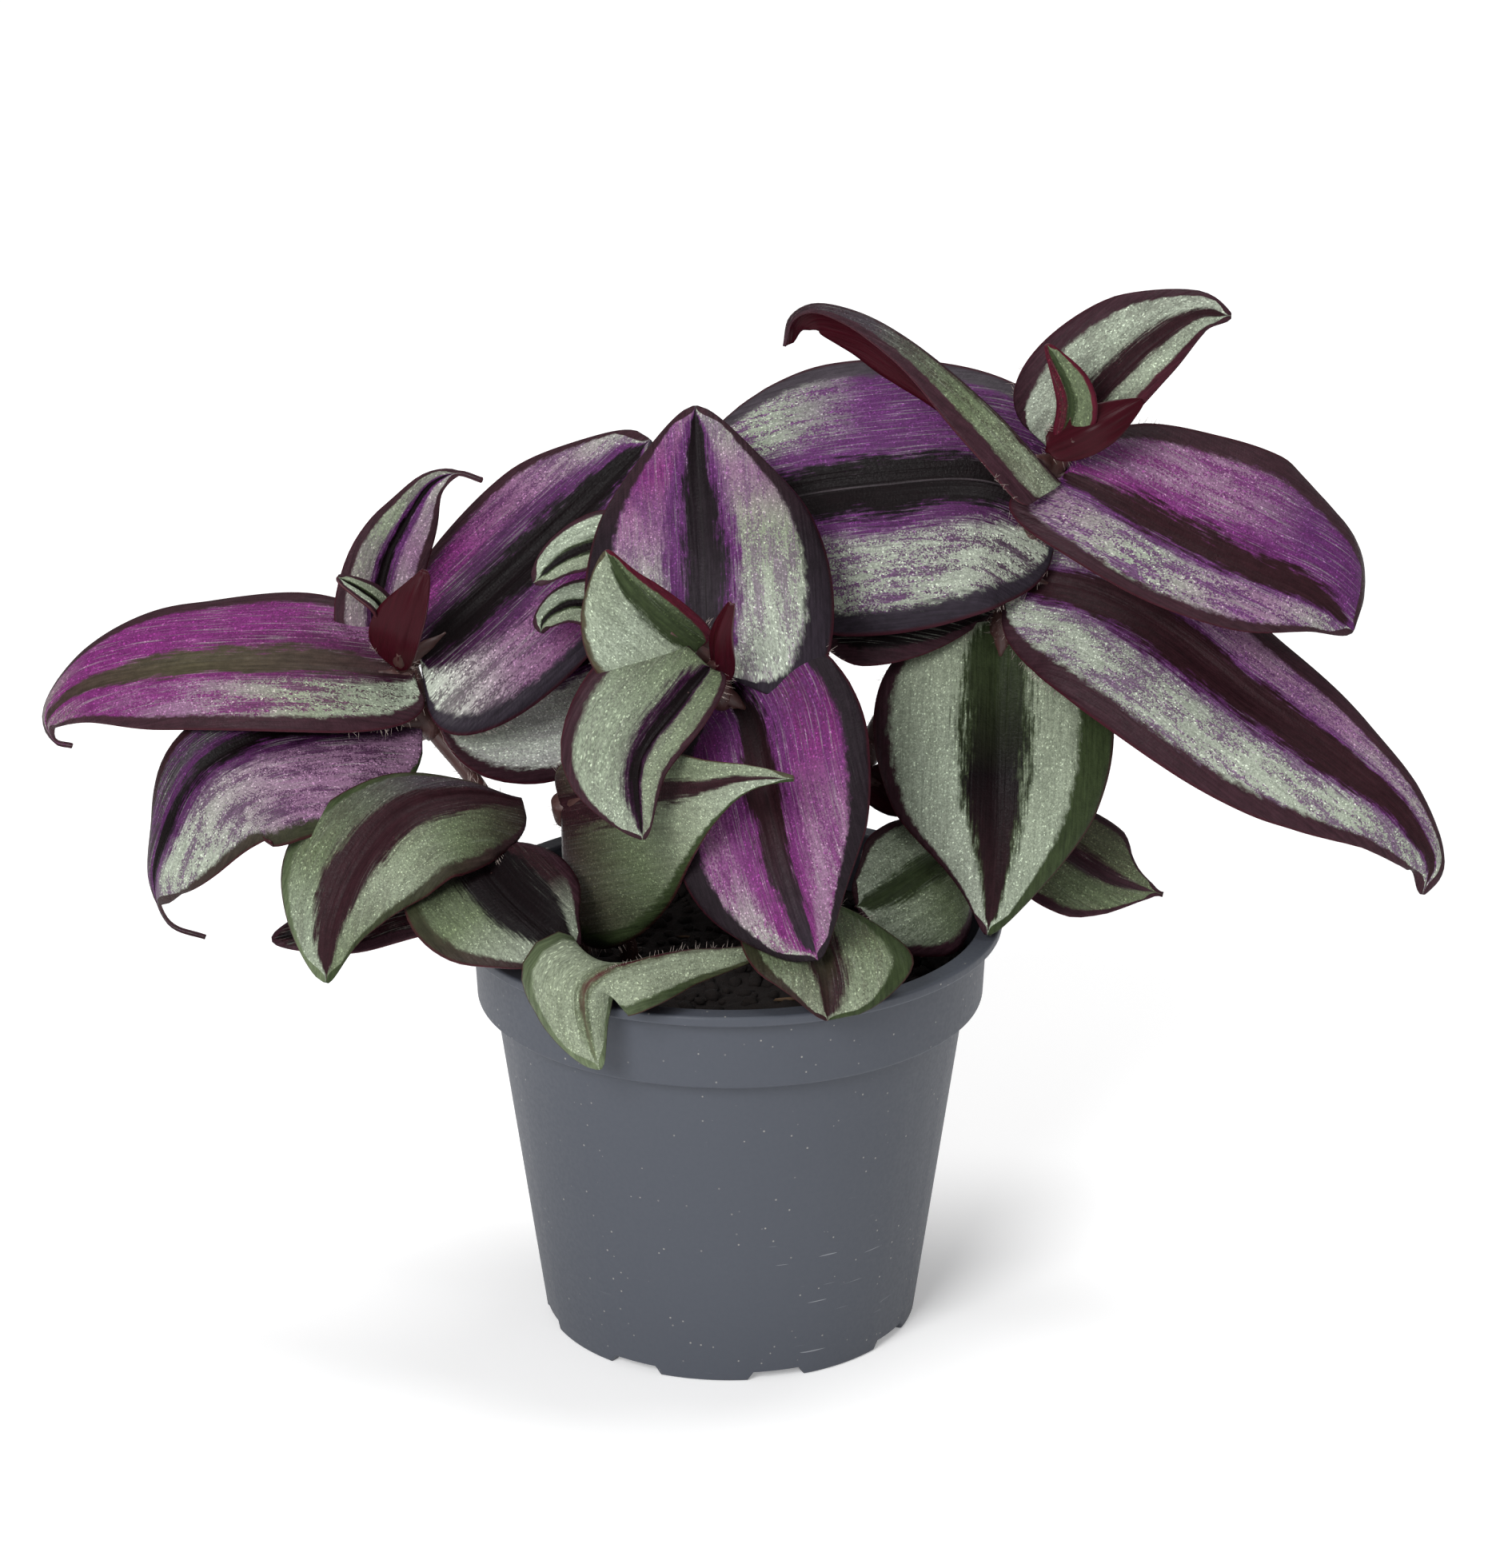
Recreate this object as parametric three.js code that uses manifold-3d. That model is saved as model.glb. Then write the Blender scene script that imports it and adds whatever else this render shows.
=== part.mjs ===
// A potted wandering tradescantia: leafy stems with striped blades, in a small nursery pot.
// Millimetres, +Z up. The pot's axis is the Z axis, its foot stands on z = 0, and -Y is the front.
import * as THREE from "three";
import { mergeVertices } from "three/addons/utils/BufferGeometryUtils.js";
import Module from "manifold-3d";

const wasm = await Module();
wasm.setup();

// ---------------------------------------------------------------- driving dimensions

const POT = {
  footRadius: 31, // outer radius of the foot ring
  footRing: 2.1, // width of the foot ring
  floorLift: 1.6, // the floor's underside stands this far above the table
  floor: 1.2, // thickness of the floor
  wall: 1.1,
  bodyRadius: 39.1, // top of the cone-shaped body, under the collar
  ledgeHeight: 57.3, // the collar's lower edge
  ledgeRadius: 41.9,
  collarRadius: 42.5, // top of the collar, under the lip
  lipRadius: 45,
  lipHeight: 71, // height of the whole pot
  lip: 1.8, // height of the lip's rolled edge
  edge: 0.5, // every edge is rounded by this much
  segments: 40,
};
const NOTCHES = { count: 8, first: -75.6, width: 8.7, height: 1.5 }; // cut through the foot ring
const DRAINS = { count: 8, first: -53.1, radius: 2.4, ring: 24 }; // holes through the floor
const SOIL = {
  rim: 60.5, // where the soil meets the pot's wall
  top: 61,
  lump: 0.7, // how far its lumps rise and sink
  clearance: 0.3,
  rings: [0.86, 0.7, 0.53, 0.36, 0.18, 0], // shares of its radius
  segments: 20,
};
const STEM = { radius: 1.5, sides: 6, step: 9, foot: 57.6, plugTop: 66, plugRadius: 1.7 };
const SHEATH = { length: 6, wide: 2.5, narrow: 1.9, reach: 6, neck: 0.9 };
const BLADE = { thickness: 0.8, tip: 0.5, cell: 8, across: 4 };

// ---------------------------------------------------------------- the leafy stems
//
// A stem is its curve from the soil up. A leaf is its midrib from root to tip, the way that its
// upper face looks at even steps along it, and its half widths left and right of the midrib, seen
// on that face with the tip up. Angles are in degrees: fold lifts both halves from the midrib, at
// the root and at the tip, and arch bends each half down again towards its margin. widest is where
// along its length the blade is widest, fullness and sharp shape its outline, lobe draws its base
// back round the root, and tail is the share at the tip that is drawn out thin. Where the two
// halves differ, these are [left, right].

const SHOOTS = [
  {
    name: "stem_left",
    stem: [[-25, 3, 64], [-32, 1, 72], [-37.5, 0, 86], [-42.5, 2, 94], [-50, 5, 103], [-53.5, 6, 112]],
    leaves: [
      // long leaf to the far left, its tip curled under
      {
        midrib: [
          [-51.5, 4, 111], [-71, 2, 113.5], [-93, 5, 111.5], [-107, 9, 106.5],
          [-113, 12, 100], [-112, 12, 96.5], [-109, 11, 96],
        ],
        faces: [[0, -0.6, 0.8], [0, -0.6, 0.8], [-0.8, -0.5, 0.2]],
        half: [12.5, 14.5], fold: [20, 10], arch: 40, widest: [0.33, 0.36], lobe: [7, 3], tail: 0.05,
      },
      // the leaf below it, hanging over with a curled tip
      {
        midrib: [
          [-50.5, 4, 102.5], [-63, 0, 104], [-77, -5, 103.5], [-86, -8, 99],
          [-91.5, -10, 89], [-94, -9, 79.5], [-92, -8, 72], [-86, -8, 69.5],
        ],
        faces: [[0, -0.6, 0.8], [-0.3, -0.7, 0.6], [-0.8, -0.5, 0.2]],
        half: [19.5, 8.5], fold: [15, 10], arch: 40, widest: [0.42, 0.36], fullness: [1, 1.15],
        tail: 0.14,
      },
      // young upright leaf with a hooked tip
      {
        midrib: [
          [-54, 8, 111], [-57.5, 10, 117.5], [-56.5, 11, 127], [-52.5, 11, 135.5],
          [-48.5, 9, 142], [-44, 7, 144.5], [-40, 5, 144],
        ],
        faces: [[0, -0.9, 0.3], [0.1, -0.95, 0.3], [0.5, -0.7, 0.5]],
        half: [7, 7], fold: [35, 35], arch: 50, widest: [0.24, 0.3], lobe: [4, 0], tail: 0.1,
      },
      // broad leaf up to the right
      {
        midrib: [[-51, 6, 113.5], [-44, 9, 119], [-29.5, 14, 131.5], [-20, 17, 140], [-13, 19, 146.5]],
        faces: [[-0.1, -0.8, 0.6]],
        half: [14, 19.5], fold: [22, 10], arch: 45, widest: [0.52, 0.36], lobe: [5, 14], fullness: 0.95,
      },
      // rolled bud in the middle
      {
        midrib: [[-54, 3, 112.5], [-53, -3, 119.5], [-51, -4, 126], [-49, -3, 131.4]],
        faces: [[0.3, 0.9, 0.3]],
        half: [2.6, 5.4], fold: [20, 20], arch: 30, widest: [0.5, 0.42], fullness: [1, 1.7],
      },
      // small tip beside the bud
      {
        midrib: [[-55.5, 4, 113.5], [-56.5, 0, 124], [-59.5, -3, 128], [-63, -4, 130.5]],
        faces: [[0.3, -0.6, 0.7]],
        half: [2.2, 2.4], fold: [20, 20], arch: 30, widest: 0.5,
      },
      // silver leaf under the broad one
      {
        midrib: [[-48.5, 8, 108.5], [-39, 14, 106.5], [-28.5, 22, 105.5], [-18, 30, 108]],
        faces: [[0, -0.7, 0.7]],
        half: [9, 19], fold: [15, 10], arch: 40, widest: 0.4, lobe: [0, 6],
      },
      // sage leaf on the lower joint, blunt tip down
      {
        midrib: [
          [-34, -1, 91], [-43, -8, 95], [-52.5, -15, 94.5], [-59.5, -20, 88],
          [-63.5, -24, 79], [-65, -26, 69],
        ],
        faces: [[0, -0.6, 0.8], [-0.3, -0.8, 0.5], [-0.3, -0.9, 0.2]],
        half: [14.5, 13.5], fold: [20, 15], arch: 40, widest: [0.4, 0.76], fullness: [1.25, 2.6],
        sharp: [0.5, 0.55],
      },
    ],
  },
  {
    name: "stem_centre",
    stem: [[9, 4, 64], [7, -8, 85], [2, -20, 105], [-3, -25, 123]],
    leaves: [
      // heart-shaped leaf that faces the front
      {
        midrib: [[-3, -24, 121.5], [-3.5, -20, 128], [-4, -11, 137], [-5, -1, 147.5], [-5.5, 5, 156.5]],
        faces: [[0, -0.75, 0.66]],
        half: [20, 21], fold: [30, 25], arch: 65, widest: 0.33, lobe: [9, 12], fullness: 1,
      },
      // small green leaf over its left half
      {
        midrib: [[-5, -30, 127], [-10, -33, 132], [-15.5, -36, 139], [-19, -36, 145.5]],
        faces: [[-0.2, -0.85, 0.5]],
        half: [13, 4.5], fold: [20, 20], arch: 50, widest: 0.32, lobe: 4,
      },
      // young leaf hanging down to the left
      {
        midrib: [[-3, -32, 125], [-7.5, -37, 121], [-14, -41, 112.5], [-13.5, -42, 100]],
        faces: [[-0.1, -0.9, 0.4], [-0.1, -0.9, 0.3], [-0.1, -0.95, 0.2]],
        half: [5, 14], fold: [30, 25], arch: 50, widest: 0.4, lobe: 4,
      },
      // its rolled red margin, standing up beside the growing tip
      {
        midrib: [[-1.5, -28, 121], [-1.5, -34, 130.5], [0.5, -36, 137]],
        faces: [[0.5, 0.8, 0.2]],
        half: [2.2, 2.2], fold: [60, 50], arch: 40, widest: 0.35,
      },
      // violet leaf hanging down the middle
      {
        midrib: [
          [-1, -21, 119.1], [3, -25, 114.5], [5.5, -32, 106], [8.5, -38, 95],
          [11.5, -42.5, 86.5], [14, -43, 80],
        ],
        faces: [[-0.1, -0.9, 0.4], [-0.25, -0.93, 0.3], [-0.2, -0.95, 0.1]],
        half: [18, 17.5], fold: [28, 20], arch: 55, widest: [0.3, 0.55], lobe: 0, fullness: [1.1, 1],
      },
    ],
  },
  {
    name: "stem_right",
    stem: [[31, 12, 64], [37, 11, 80], [42, 9, 100], [45, 8, 119], [47.5, 6, 130], [52, 1, 147]],
    leaves: [
      // very broad leaf to the left
      {
        midrib: [[52.5, 8, 138.5], [41, 8, 143], [24.5, 9, 142], [9, 11, 139], [-8, 12, 133.5]],
        faces: [[0, -0.8, 0.6]],
        half: [25, 23], fold: [20, 12], arch: 45, widest: [0.5, 0.58], lobe: 12, fullness: 0.8,
      },
      // narrow leaf arching up to the left, its halves turned down like a roof
      {
        midrib: [
          [53, -6, 147], [42.5, -4, 158.5], [28.5, 0, 169.3], [20, 3, 173],
          [13, 4, 173.8], [9.5, 4, 171.5], [8.5, 3, 167],
        ],
        faces: [[0.62, 0.1, 0.78], [0.5, 0.15, 0.85], [-0.3, 0.1, 0.9]],
        half: [8.5, 9], fold: [-45, -45], arch: 20, widest: [0.1, 0.6], lobe: [-1, 0],
        fullness: [1.3, 1.2],
      },
      // young leaf at the very top
      {
        midrib: [[51.5, 0, 150.5], [58.5, -1, 159.5], [67, 0, 168], [75, 2, 172.5], [80, 3, 172]],
        faces: [[-0.1, -0.9, 0.4]],
        half: [12.4, 6], fold: [30, 20], arch: 50, widest: [0.3, 0.4], lobe: [1, 2],
      },
      // bud leaf inside it
      {
        midrib: [[53, -6, 153], [54, -9, 161.5], [50, -10, 171]],
        faces: [[-0.1, -0.9, 0.3]],
        half: [2, 4], fold: [40, 30], arch: 50, widest: 0.35,
      },
      // wine-red base of the young leaf, turned over in front of the bud
      {
        midrib: [[50.5, -6.5, 152.5], [58, -10, 157.2], [65.5, -6, 160.6]],
        faces: [[0, 0.9, -0.3]],
        half: [3.2, 3.6], fold: [35, 30], arch: 40, widest: 0.38,
      },
      // broad leaf to the right
      {
        midrib: [
          [53.5, -3, 147.5], [61.5, -6, 144.5], [72, -8, 139], [84, -9, 133.5],
          [94.5, -8, 128], [100.5, -6, 122],
        ],
        faces: [[0.1, -0.75, 0.65]],
        half: [21.8, 12.8], fold: [22, 10], arch: 45, widest: [0.64, 0.32], lobe: [4, 13],
        fullness: [0.74, 0.95],
      },
      // longest leaf, out to the lower right
      {
        midrib: [
          [46, 6, 127], [58, 2, 126], [69.5, -3, 121.5], [83.5, -9, 112],
          [98, -13, 102.5], [108, -15, 94.5], [113.5, -15, 85.5], [112.5, -14, 79.5],
        ],
        faces: [[0.2, -0.75, 0.65]],
        half: [13, 19.2], fold: [18, 12], arch: 45, widest: 0.33, lobe: 3,
      },
      // sage leaf hanging straight down
      {
        midrib: [[44.5, 9, 118.7], [44, 2, 108], [43.5, -6, 96.6], [43, -11, 83.5], [42, -13, 72]],
        faces: [[0, -0.95, 0.3]],
        half: [19, 20.5], fold: [20, 15], arch: 45, widest: [0.36, 0.32], lobe: [2, -2],
        sharp: [0.3, 0.55],
      },
    ],
  },
  {
    name: "stem_back_left",
    stem: [[4, 18, 64], [2, 16, 80], [-3, 13, 100], [-6, 12, 122]],
    leaves: [
      // two narrow leaves whose tips curl forward on the left
      {
        midrib: [[-6, 10, 121], [-11, 2, 131.5], [-19.5, -2, 135.5], [-26.5, -3, 133.5], [-31.5, -4, 129.5]],
        faces: [[-0.1, -0.8, 0.6]],
        half: [4, 6], fold: [10, 10], arch: 40, widest: 0.55,
      },
      {
        midrib: [[-6, 10, 116], [-18.5, -2, 124.5], [-26, -3, 125.5], [-30, -4, 123], [-30.5, -4, 121]],
        faces: [[-0.1, -0.8, 0.6]],
        half: [4, 5], fold: [10, 10], arch: 40, widest: 0.5,
      },
      // three leaves to the back
      {
        midrib: [[-8, 14, 119], [-24, 32, 121], [-42, 45, 106]],
        faces: [[0, 0.1, 1], [-0.3, 0.3, 0.9]],
        half: [12, 12], fold: [20, 10], arch: 40, widest: 0.4, lobe: 3,
      },
      {
        midrib: [[-4, 14, 116], [2, 32, 121], [6, 48, 108]],
        faces: [[0, 0, 1], [0, 0.5, 0.9]],
        half: [13, 13], fold: [20, 10], arch: 40, widest: 0.4, lobe: 3,
      },
      {
        midrib: [[-4, 13, 110], [16, 30, 112], [34, 45, 103]],
        faces: [[0, 0.1, 1], [0.3, 0.4, 0.9]],
        half: [11, 11], fold: [20, 10], arch: 40, widest: 0.4, lobe: 3,
      },
    ],
  },
  {
    name: "stem_back_right",
    stem: [[16, 20, 64], [20, 19, 80], [25, 18, 98], [36, 16, 110], [44, 14, 119]],
    leaves: [
      // dark leaf just under the very broad one
      {
        midrib: [[45, 13, 119.5], [33, 8, 124], [20, 9, 125], [8, 12, 123.4]],
        faces: [[0, -0.7, 0.7]],
        half: [14, 12], fold: [15, 10], arch: 40, widest: [0.62, 0.45], fullness: [2, 1.15],
      },
      // small leaf seen from its red underside
      {
        midrib: [[22.5, 17, 88], [25, 15, 87.5], [28.5, 14, 85.5], [32, 14, 83]],
        faces: [[0, 0.9, -0.3]],
        half: [3.4, 3.4], fold: [10, 10], arch: 30, widest: 0.4,
      },
      // three leaves to the back
      {
        midrib: [[44, 16, 116], [68, 31, 114], [88, 43, 98]],
        faces: [[0, 0.1, 1], [0.3, 0.3, 0.9]],
        half: [12, 12], fold: [20, 10], arch: 40, widest: 0.4, lobe: 3,
      },
      {
        midrib: [[44, 16, 117], [50, 34, 122], [53, 49, 108]],
        faces: [[0, 0, 1], [0, 0.5, 0.9]],
        half: [12, 12], fold: [20, 10], arch: 40, widest: 0.4, lobe: 3,
      },
      {
        midrib: [[24, 20, 92], [42, 36, 96], [58, 48, 84]],
        faces: [[0, 0.1, 1], [0.3, 0.4, 0.9]],
        half: [10, 10], fold: [20, 10], arch: 40, widest: 0.4, lobe: 3,
      },
    ],
  },
  {
    name: "stem_low_centre",
    stem: [[-17, 2, 64], [-23, -2, 78], [-26.5, -9, 92]],
    leaves: [
      // dull green leaf across the middle, its pale tip to the right
      {
        midrib: [
          [-27.5, -11, 94.5], [-15.5, -25, 102], [-4.5, -42, 109],
          [3, -47, 112], [10, -49.5, 113],
        ],
        faces: [[0.2, -0.95, 0.3]],
        half: [7, 25.5], fold: [20, 10], arch: 40, widest: [0.25, 0.14], lobe: [0, 14],
        fullness: [1.15, 1.9],
      },
    ],
  },
  {
    name: "stem_low_left",
    stem: [[-29, -9, 64], [-34, -11, 72], [-38, -12, 77.5], [-39.5, -12.5, 81.5]],
    leaves: [
      // dark leaf over the rim
      {
        midrib: [[-41, -12, 85.9], [-36, -21.5, 83.4], [-29.5, -29.5, 80.4], [-24.5, -32.5, 76.9]],
        faces: [[0.1, -0.6, 0.8]],
        half: [11, 16.5], fold: [20, 15], arch: 40, widest: [0.4, 0.4], lobe: [2, 2], fullness: 1,
      },
      // small dark leaf under the sage one
      {
        midrib: [[-38, -14, 80], [-54, -10, 77], [-64.5, -10, 73], [-75, -10, 70]],
        faces: [[0, -0.6, 0.8]],
        half: [7, 7], fold: [10, 10], arch: 30, widest: 0.45,
      },
    ],
  },
  {
    name: "stem_front",
    stem: [[12, -14, 64], [13, -20, 75], [12, -27, 85]],
    leaves: [
      // leaf over the front rim
      {
        midrib: [[12.5, -28, 84.5], [13.5, -36, 80.5], [15, -43, 76.5], [15.5, -46, 71]],
        faces: [[0.1, -0.6, 0.8]],
        half: [15, 11.5], fold: [20, 15], arch: 40, widest: [0.62, 0.34],
      },
      // pale green leaf bent over the rim to the left
      {
        midrib: [
          [12.5, -24, 79.5], [4, -36, 80], [-8, -41, 81], [-15.5, -44.5, 80.5],
          [-20, -46.5, 79.5], [-22.5, -47, 77], [-22.5, -46.5, 71], [-20.5, -46, 62.5],
        ],
        faces: [[0, -0.2, 1], [0, -0.2, 1], [0, -0.2, 1], [0, -0.1, 1], [0, -0.97, 0.25], [0, -1, 0.1]],
        half: [8.5, 17], fold: [-70, -5], arch: 35, widest: [0.72, 0.76], fullness: [2.6, 2.6],
        sharp: 0.6,
      },
    ],
  },
  {
    name: "stem_low_right",
    stem: [[30, 0, 64], [34, 6, 73], [39, 6, 81]],
    leaves: [
      // green and silver leaf inside the rim, tip hooked
      {
        midrib: [[39, 4, 82], [31.5, -8, 82], [25.5, -14, 80], [20.5, -18, 79]],
        faces: [[-0.1, -0.95, 0.3]],
        half: [14.5, 9], fold: [20, 15], arch: 45, widest: 0.58, lobe: -3,
      },
    ],
  },
  {
    name: "stem_far_right",
    stem: [[28, 16, 64], [31, 16, 74], [38, 15, 82], [47, 14, 86]],
    leaves: [
      // small olive leaf low on the right
      {
        midrib: [[47.5, 14, 82.5], [56, 10, 78], [64.5, 7, 73.5], [72, 6, 71.5]],
        faces: [[0.1, -0.7, 0.7]],
        half: [9, 10.5], fold: [15, 15], arch: 40, widest: [0.5, 0.42], sharp: 0.65, tail: 0.04,
      },
      // low leaf over the back rim
      {
        midrib: [[42, 16, 77], [46, 33, 84], [52, 46, 72]],
        faces: [[0, 0, 1], [0.2, 0.6, 0.8]],
        half: [9, 9], fold: [20, 10], arch: 40, widest: 0.4, lobe: 3,
      },
    ],
  },
  {
    name: "stem_rear",
    stem: [[-14, 26, 64], [-14, 25, 74], [-14, 22, 84]],
    leaves: [
      // leaf to the back left, low
      {
        midrib: [[-14, 23, 82], [-34, 34, 94], [-58, 45, 84]],
        faces: [[0, 0.1, 1], [-0.3, 0.3, 0.9]],
        half: [11, 11], fold: [20, 10], arch: 40, widest: 0.4, lobe: 3,
      },
      // leaf straight to the back, low
      {
        midrib: [[-14, 26, 76], [-10, 37, 88], [-10, 49, 76]],
        faces: [[0, -0.2, 1], [0, 0.6, 0.8]],
        half: [11, 11], fold: [20, 10], arch: 40, widest: 0.4, lobe: 3,
      },
    ],
  },
];

// ---------------------------------------------------------------- solids

const radians = THREE.MathUtils.degToRad;

// A closed geometry as a manifold-3d solid.
function solidOf(geometry) {
  const bare = geometry.index ? geometry.toNonIndexed() : geometry.clone();
  bare.deleteAttribute("normal");
  bare.deleteAttribute("uv");
  const merged = mergeVertices(bare, 1e-4);
  const solid = new wasm.Manifold(
    new wasm.Mesh({
      numProp: 3,
      vertProperties: merged.attributes.position.array,
      triVerts: new Uint32Array(merged.index.array),
    }),
  );
  if (solid.volume() < 0) throw new Error("a solid is inside out");
  return solid;
}

// A manifold-3d solid back as a geometry, with flat faces.
function geometryOf(solid) {
  const mesh = solid.getMesh();
  const geometry = new THREE.BufferGeometry();
  geometry.setAttribute("position", new THREE.BufferAttribute(mesh.vertProperties, 3));
  geometry.setIndex(new THREE.BufferAttribute(mesh.triVerts, 1));
  const flat = geometry.toNonIndexed();
  flat.computeVertexNormals();
  return flat;
}

// A profile of [radius, height] points turned about the Z axis. It runs from the axis, out along
// the underside, up the outside and back to the axis.
function turned(profile, segments) {
  const points = profile.map(([radius, height]) => new THREE.Vector2(radius, height));
  return new THREE.LatheGeometry(points, segments).rotateX(Math.PI / 2);
}

// A round bar or cone between two points.
function bar(from, to, fromRadius, toRadius, sides) {
  const along = to.clone().sub(from);
  const geometry = new THREE.CylinderGeometry(toRadius, fromRadius, along.length(), sides);
  geometry.translate(0, along.length() / 2, 0);
  const up = new THREE.Vector3(0, 1, 0);
  geometry.applyQuaternion(new THREE.Quaternion().setFromUnitVectors(up, along.normalize()));
  return geometry.translate(from.x, from.y, from.z);
}

// A hole cutter: an upright bar on a ring round the Z axis.
function upright(ring, azimuth, radius, low, high) {
  const x = ring * Math.cos(radians(azimuth));
  const y = ring * Math.sin(radians(azimuth));
  return bar(new THREE.Vector3(x, y, low), new THREE.Vector3(x, y, high), radius, radius, 16);
}

// ---------------------------------------------------------------- pot and soil

// The inside of the pot from its floor to the lip, as [radius, height].
function potInside() {
  const step = POT.ledgeHeight + POT.wall;
  return [
    [POT.footRadius - POT.wall, POT.floorLift + POT.floor],
    [POT.bodyRadius - POT.wall, POT.ledgeHeight],
    [POT.ledgeRadius - POT.wall - POT.edge, step],
    [POT.ledgeRadius - POT.wall, step + POT.edge],
    [POT.collarRadius - POT.wall, POT.lipHeight - POT.edge],
  ];
}

// The radius of the collar's inside at a height.
function collarInside(height) {
  const [low, high] = potInside().slice(-2);
  return THREE.MathUtils.mapLinear(height, low[1], high[1], low[0], high[0]);
}

function makePot() {
  const top = POT.lipHeight;
  const underLip = top - POT.lip;
  const outside = [
    [0, POT.floorLift],
    [POT.footRadius - POT.footRing, POT.floorLift],
    [POT.footRadius - POT.footRing, 0],
    [POT.footRadius - POT.edge, 0],
    [POT.footRadius, POT.edge],
    [POT.bodyRadius, POT.ledgeHeight - POT.edge],
    [POT.bodyRadius + POT.edge, POT.ledgeHeight],
    [POT.ledgeRadius - POT.edge, POT.ledgeHeight],
    [POT.ledgeRadius, POT.ledgeHeight + POT.edge],
    [POT.collarRadius, underLip - POT.edge],
    [POT.collarRadius + POT.edge, underLip],
    [POT.lipRadius - POT.edge, underLip],
    [POT.lipRadius, underLip + POT.edge],
    [POT.lipRadius, top - POT.edge],
    [POT.lipRadius - POT.edge, top],
    [POT.collarRadius - POT.wall + POT.edge, top],
  ];
  const inside = potInside().reverse();
  const axis = [[0, POT.floorLift + POT.floor]];
  let pot = solidOf(turned([...outside, ...inside, ...axis], POT.segments));
  for (let i = 0; i < NOTCHES.count; i += 1) {
    const notch = new THREE.BoxGeometry(3 * POT.footRing, NOTCHES.width, 2 * NOTCHES.height);
    notch.translate(POT.footRadius - POT.footRing / 2, 0, 0);
    notch.rotateZ(radians(NOTCHES.first + (360 * i) / NOTCHES.count));
    pot = pot.subtract(solidOf(notch));
  }
  for (let i = 0; i < DRAINS.count; i += 1) {
    const azimuth = DRAINS.first + (360 * i) / DRAINS.count;
    const high = POT.floorLift + 2 * POT.floor;
    pot = pot.subtract(solidOf(upright(DRAINS.ring, azimuth, DRAINS.radius, 0, high)));
  }
  return pot;
}

// Height of the soil's crumbly top.
function soilHeight(x, y) {
  const coarse = Math.sin(x * 0.31 + 1.3) * Math.cos(y * 0.27 - 0.4);
  const fine = Math.sin(x * 0.83 - y * 0.61) * Math.cos(x * 0.47 + y * 0.92);
  return SOIL.top + SOIL.lump * (0.6 * coarse + 0.4 * fine);
}

function makeSoil() {
  const wall = potInside()
    .slice(0, -1)
    .map(([radius, height]) => [radius - SOIL.clearance, height + SOIL.clearance]);
  const rim = collarInside(SOIL.rim) - SOIL.clearance;
  wall.push([rim, SOIL.rim]);
  const rings = SOIL.rings.map((share) => [rim * share, SOIL.top]);
  const body = turned([[0, wall[0][1]], ...wall, ...rings], SOIL.segments);
  const points = body.attributes.position;
  for (let i = 0; i < points.count; i += 1) {
    if (points.getZ(i) <= SOIL.rim) continue;
    points.setZ(i, soilHeight(points.getX(i), points.getY(i)));
  }
  let soil = solidOf(body);
  for (const shoot of SHOOTS) {
    const [x, y] = shoot.stem[0];
    const low = new THREE.Vector3(x, y, STEM.foot - SOIL.clearance);
    const high = new THREE.Vector3(x, y, STEM.plugTop);
    const radius = STEM.plugRadius + SOIL.clearance;
    soil = soil.subtract(solidOf(bar(low, high, radius, radius, STEM.sides)));
  }
  return soil;
}

// ---------------------------------------------------------------- leaves and stems

const vector = (point) => new THREE.Vector3(...point);
const curve = (points) => new THREE.CatmullRomCurve3(points.map(vector));

// A value for one half of a blade. It is given once for both, or as [left, right].
const ofHalf = (value, half) => (Array.isArray(value) ? value[half] : value);

// How wide a half is at a share t of the blade's length, as a share of its widest. The tail is the
// share of the length at the tip that is drawn out thin.
function breadth(t, half, { widest = 0.36, fullness = 1.15, sharp = 0.25, tail = 0 }) {
  const inner = THREE.MathUtils.clamp(t / (1 - tail), 1e-6, 1 - 1e-6);
  const peak = ofHalf(widest, half);
  const rise = Math.pow(inner / peak, peak);
  const fall = Math.pow((1 - inner) / (1 - peak), 1 - peak);
  const taper = 1 - ofHalf(sharp, half) * THREE.MathUtils.smoothstep(inner, 0.6, 1);
  return Math.pow(rise * fall, ofHalf(fullness, half)) * taper;
}

// The way the upper face looks at t, square to the midrib.
function facing(faces, t, tangent) {
  const along = t * (faces.length - 1);
  const step = Math.min(Math.floor(along), Math.max(faces.length - 2, 0));
  const next = Math.min(step + 1, faces.length - 1);
  const hint = vector(faces[step]).normalize().lerp(vector(faces[next]).normalize(), along - step);
  return hint.addScaledVector(tangent, -hint.dot(tangent)).normalize();
}

// How far out and how far up a blade's half reaches, per unit of its width, at a share of it.
function section(share, fold, arch) {
  const parts = 12;
  let out = 0;
  let up = 0;
  for (let i = 0; i < parts; i += 1) {
    const angle = radians(fold - (arch * share * (i + 0.5)) / parts);
    out += (Math.cos(angle) * share) / parts;
    up += (Math.sin(angle) * share) / parts;
  }
  return [out, up];
}

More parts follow.
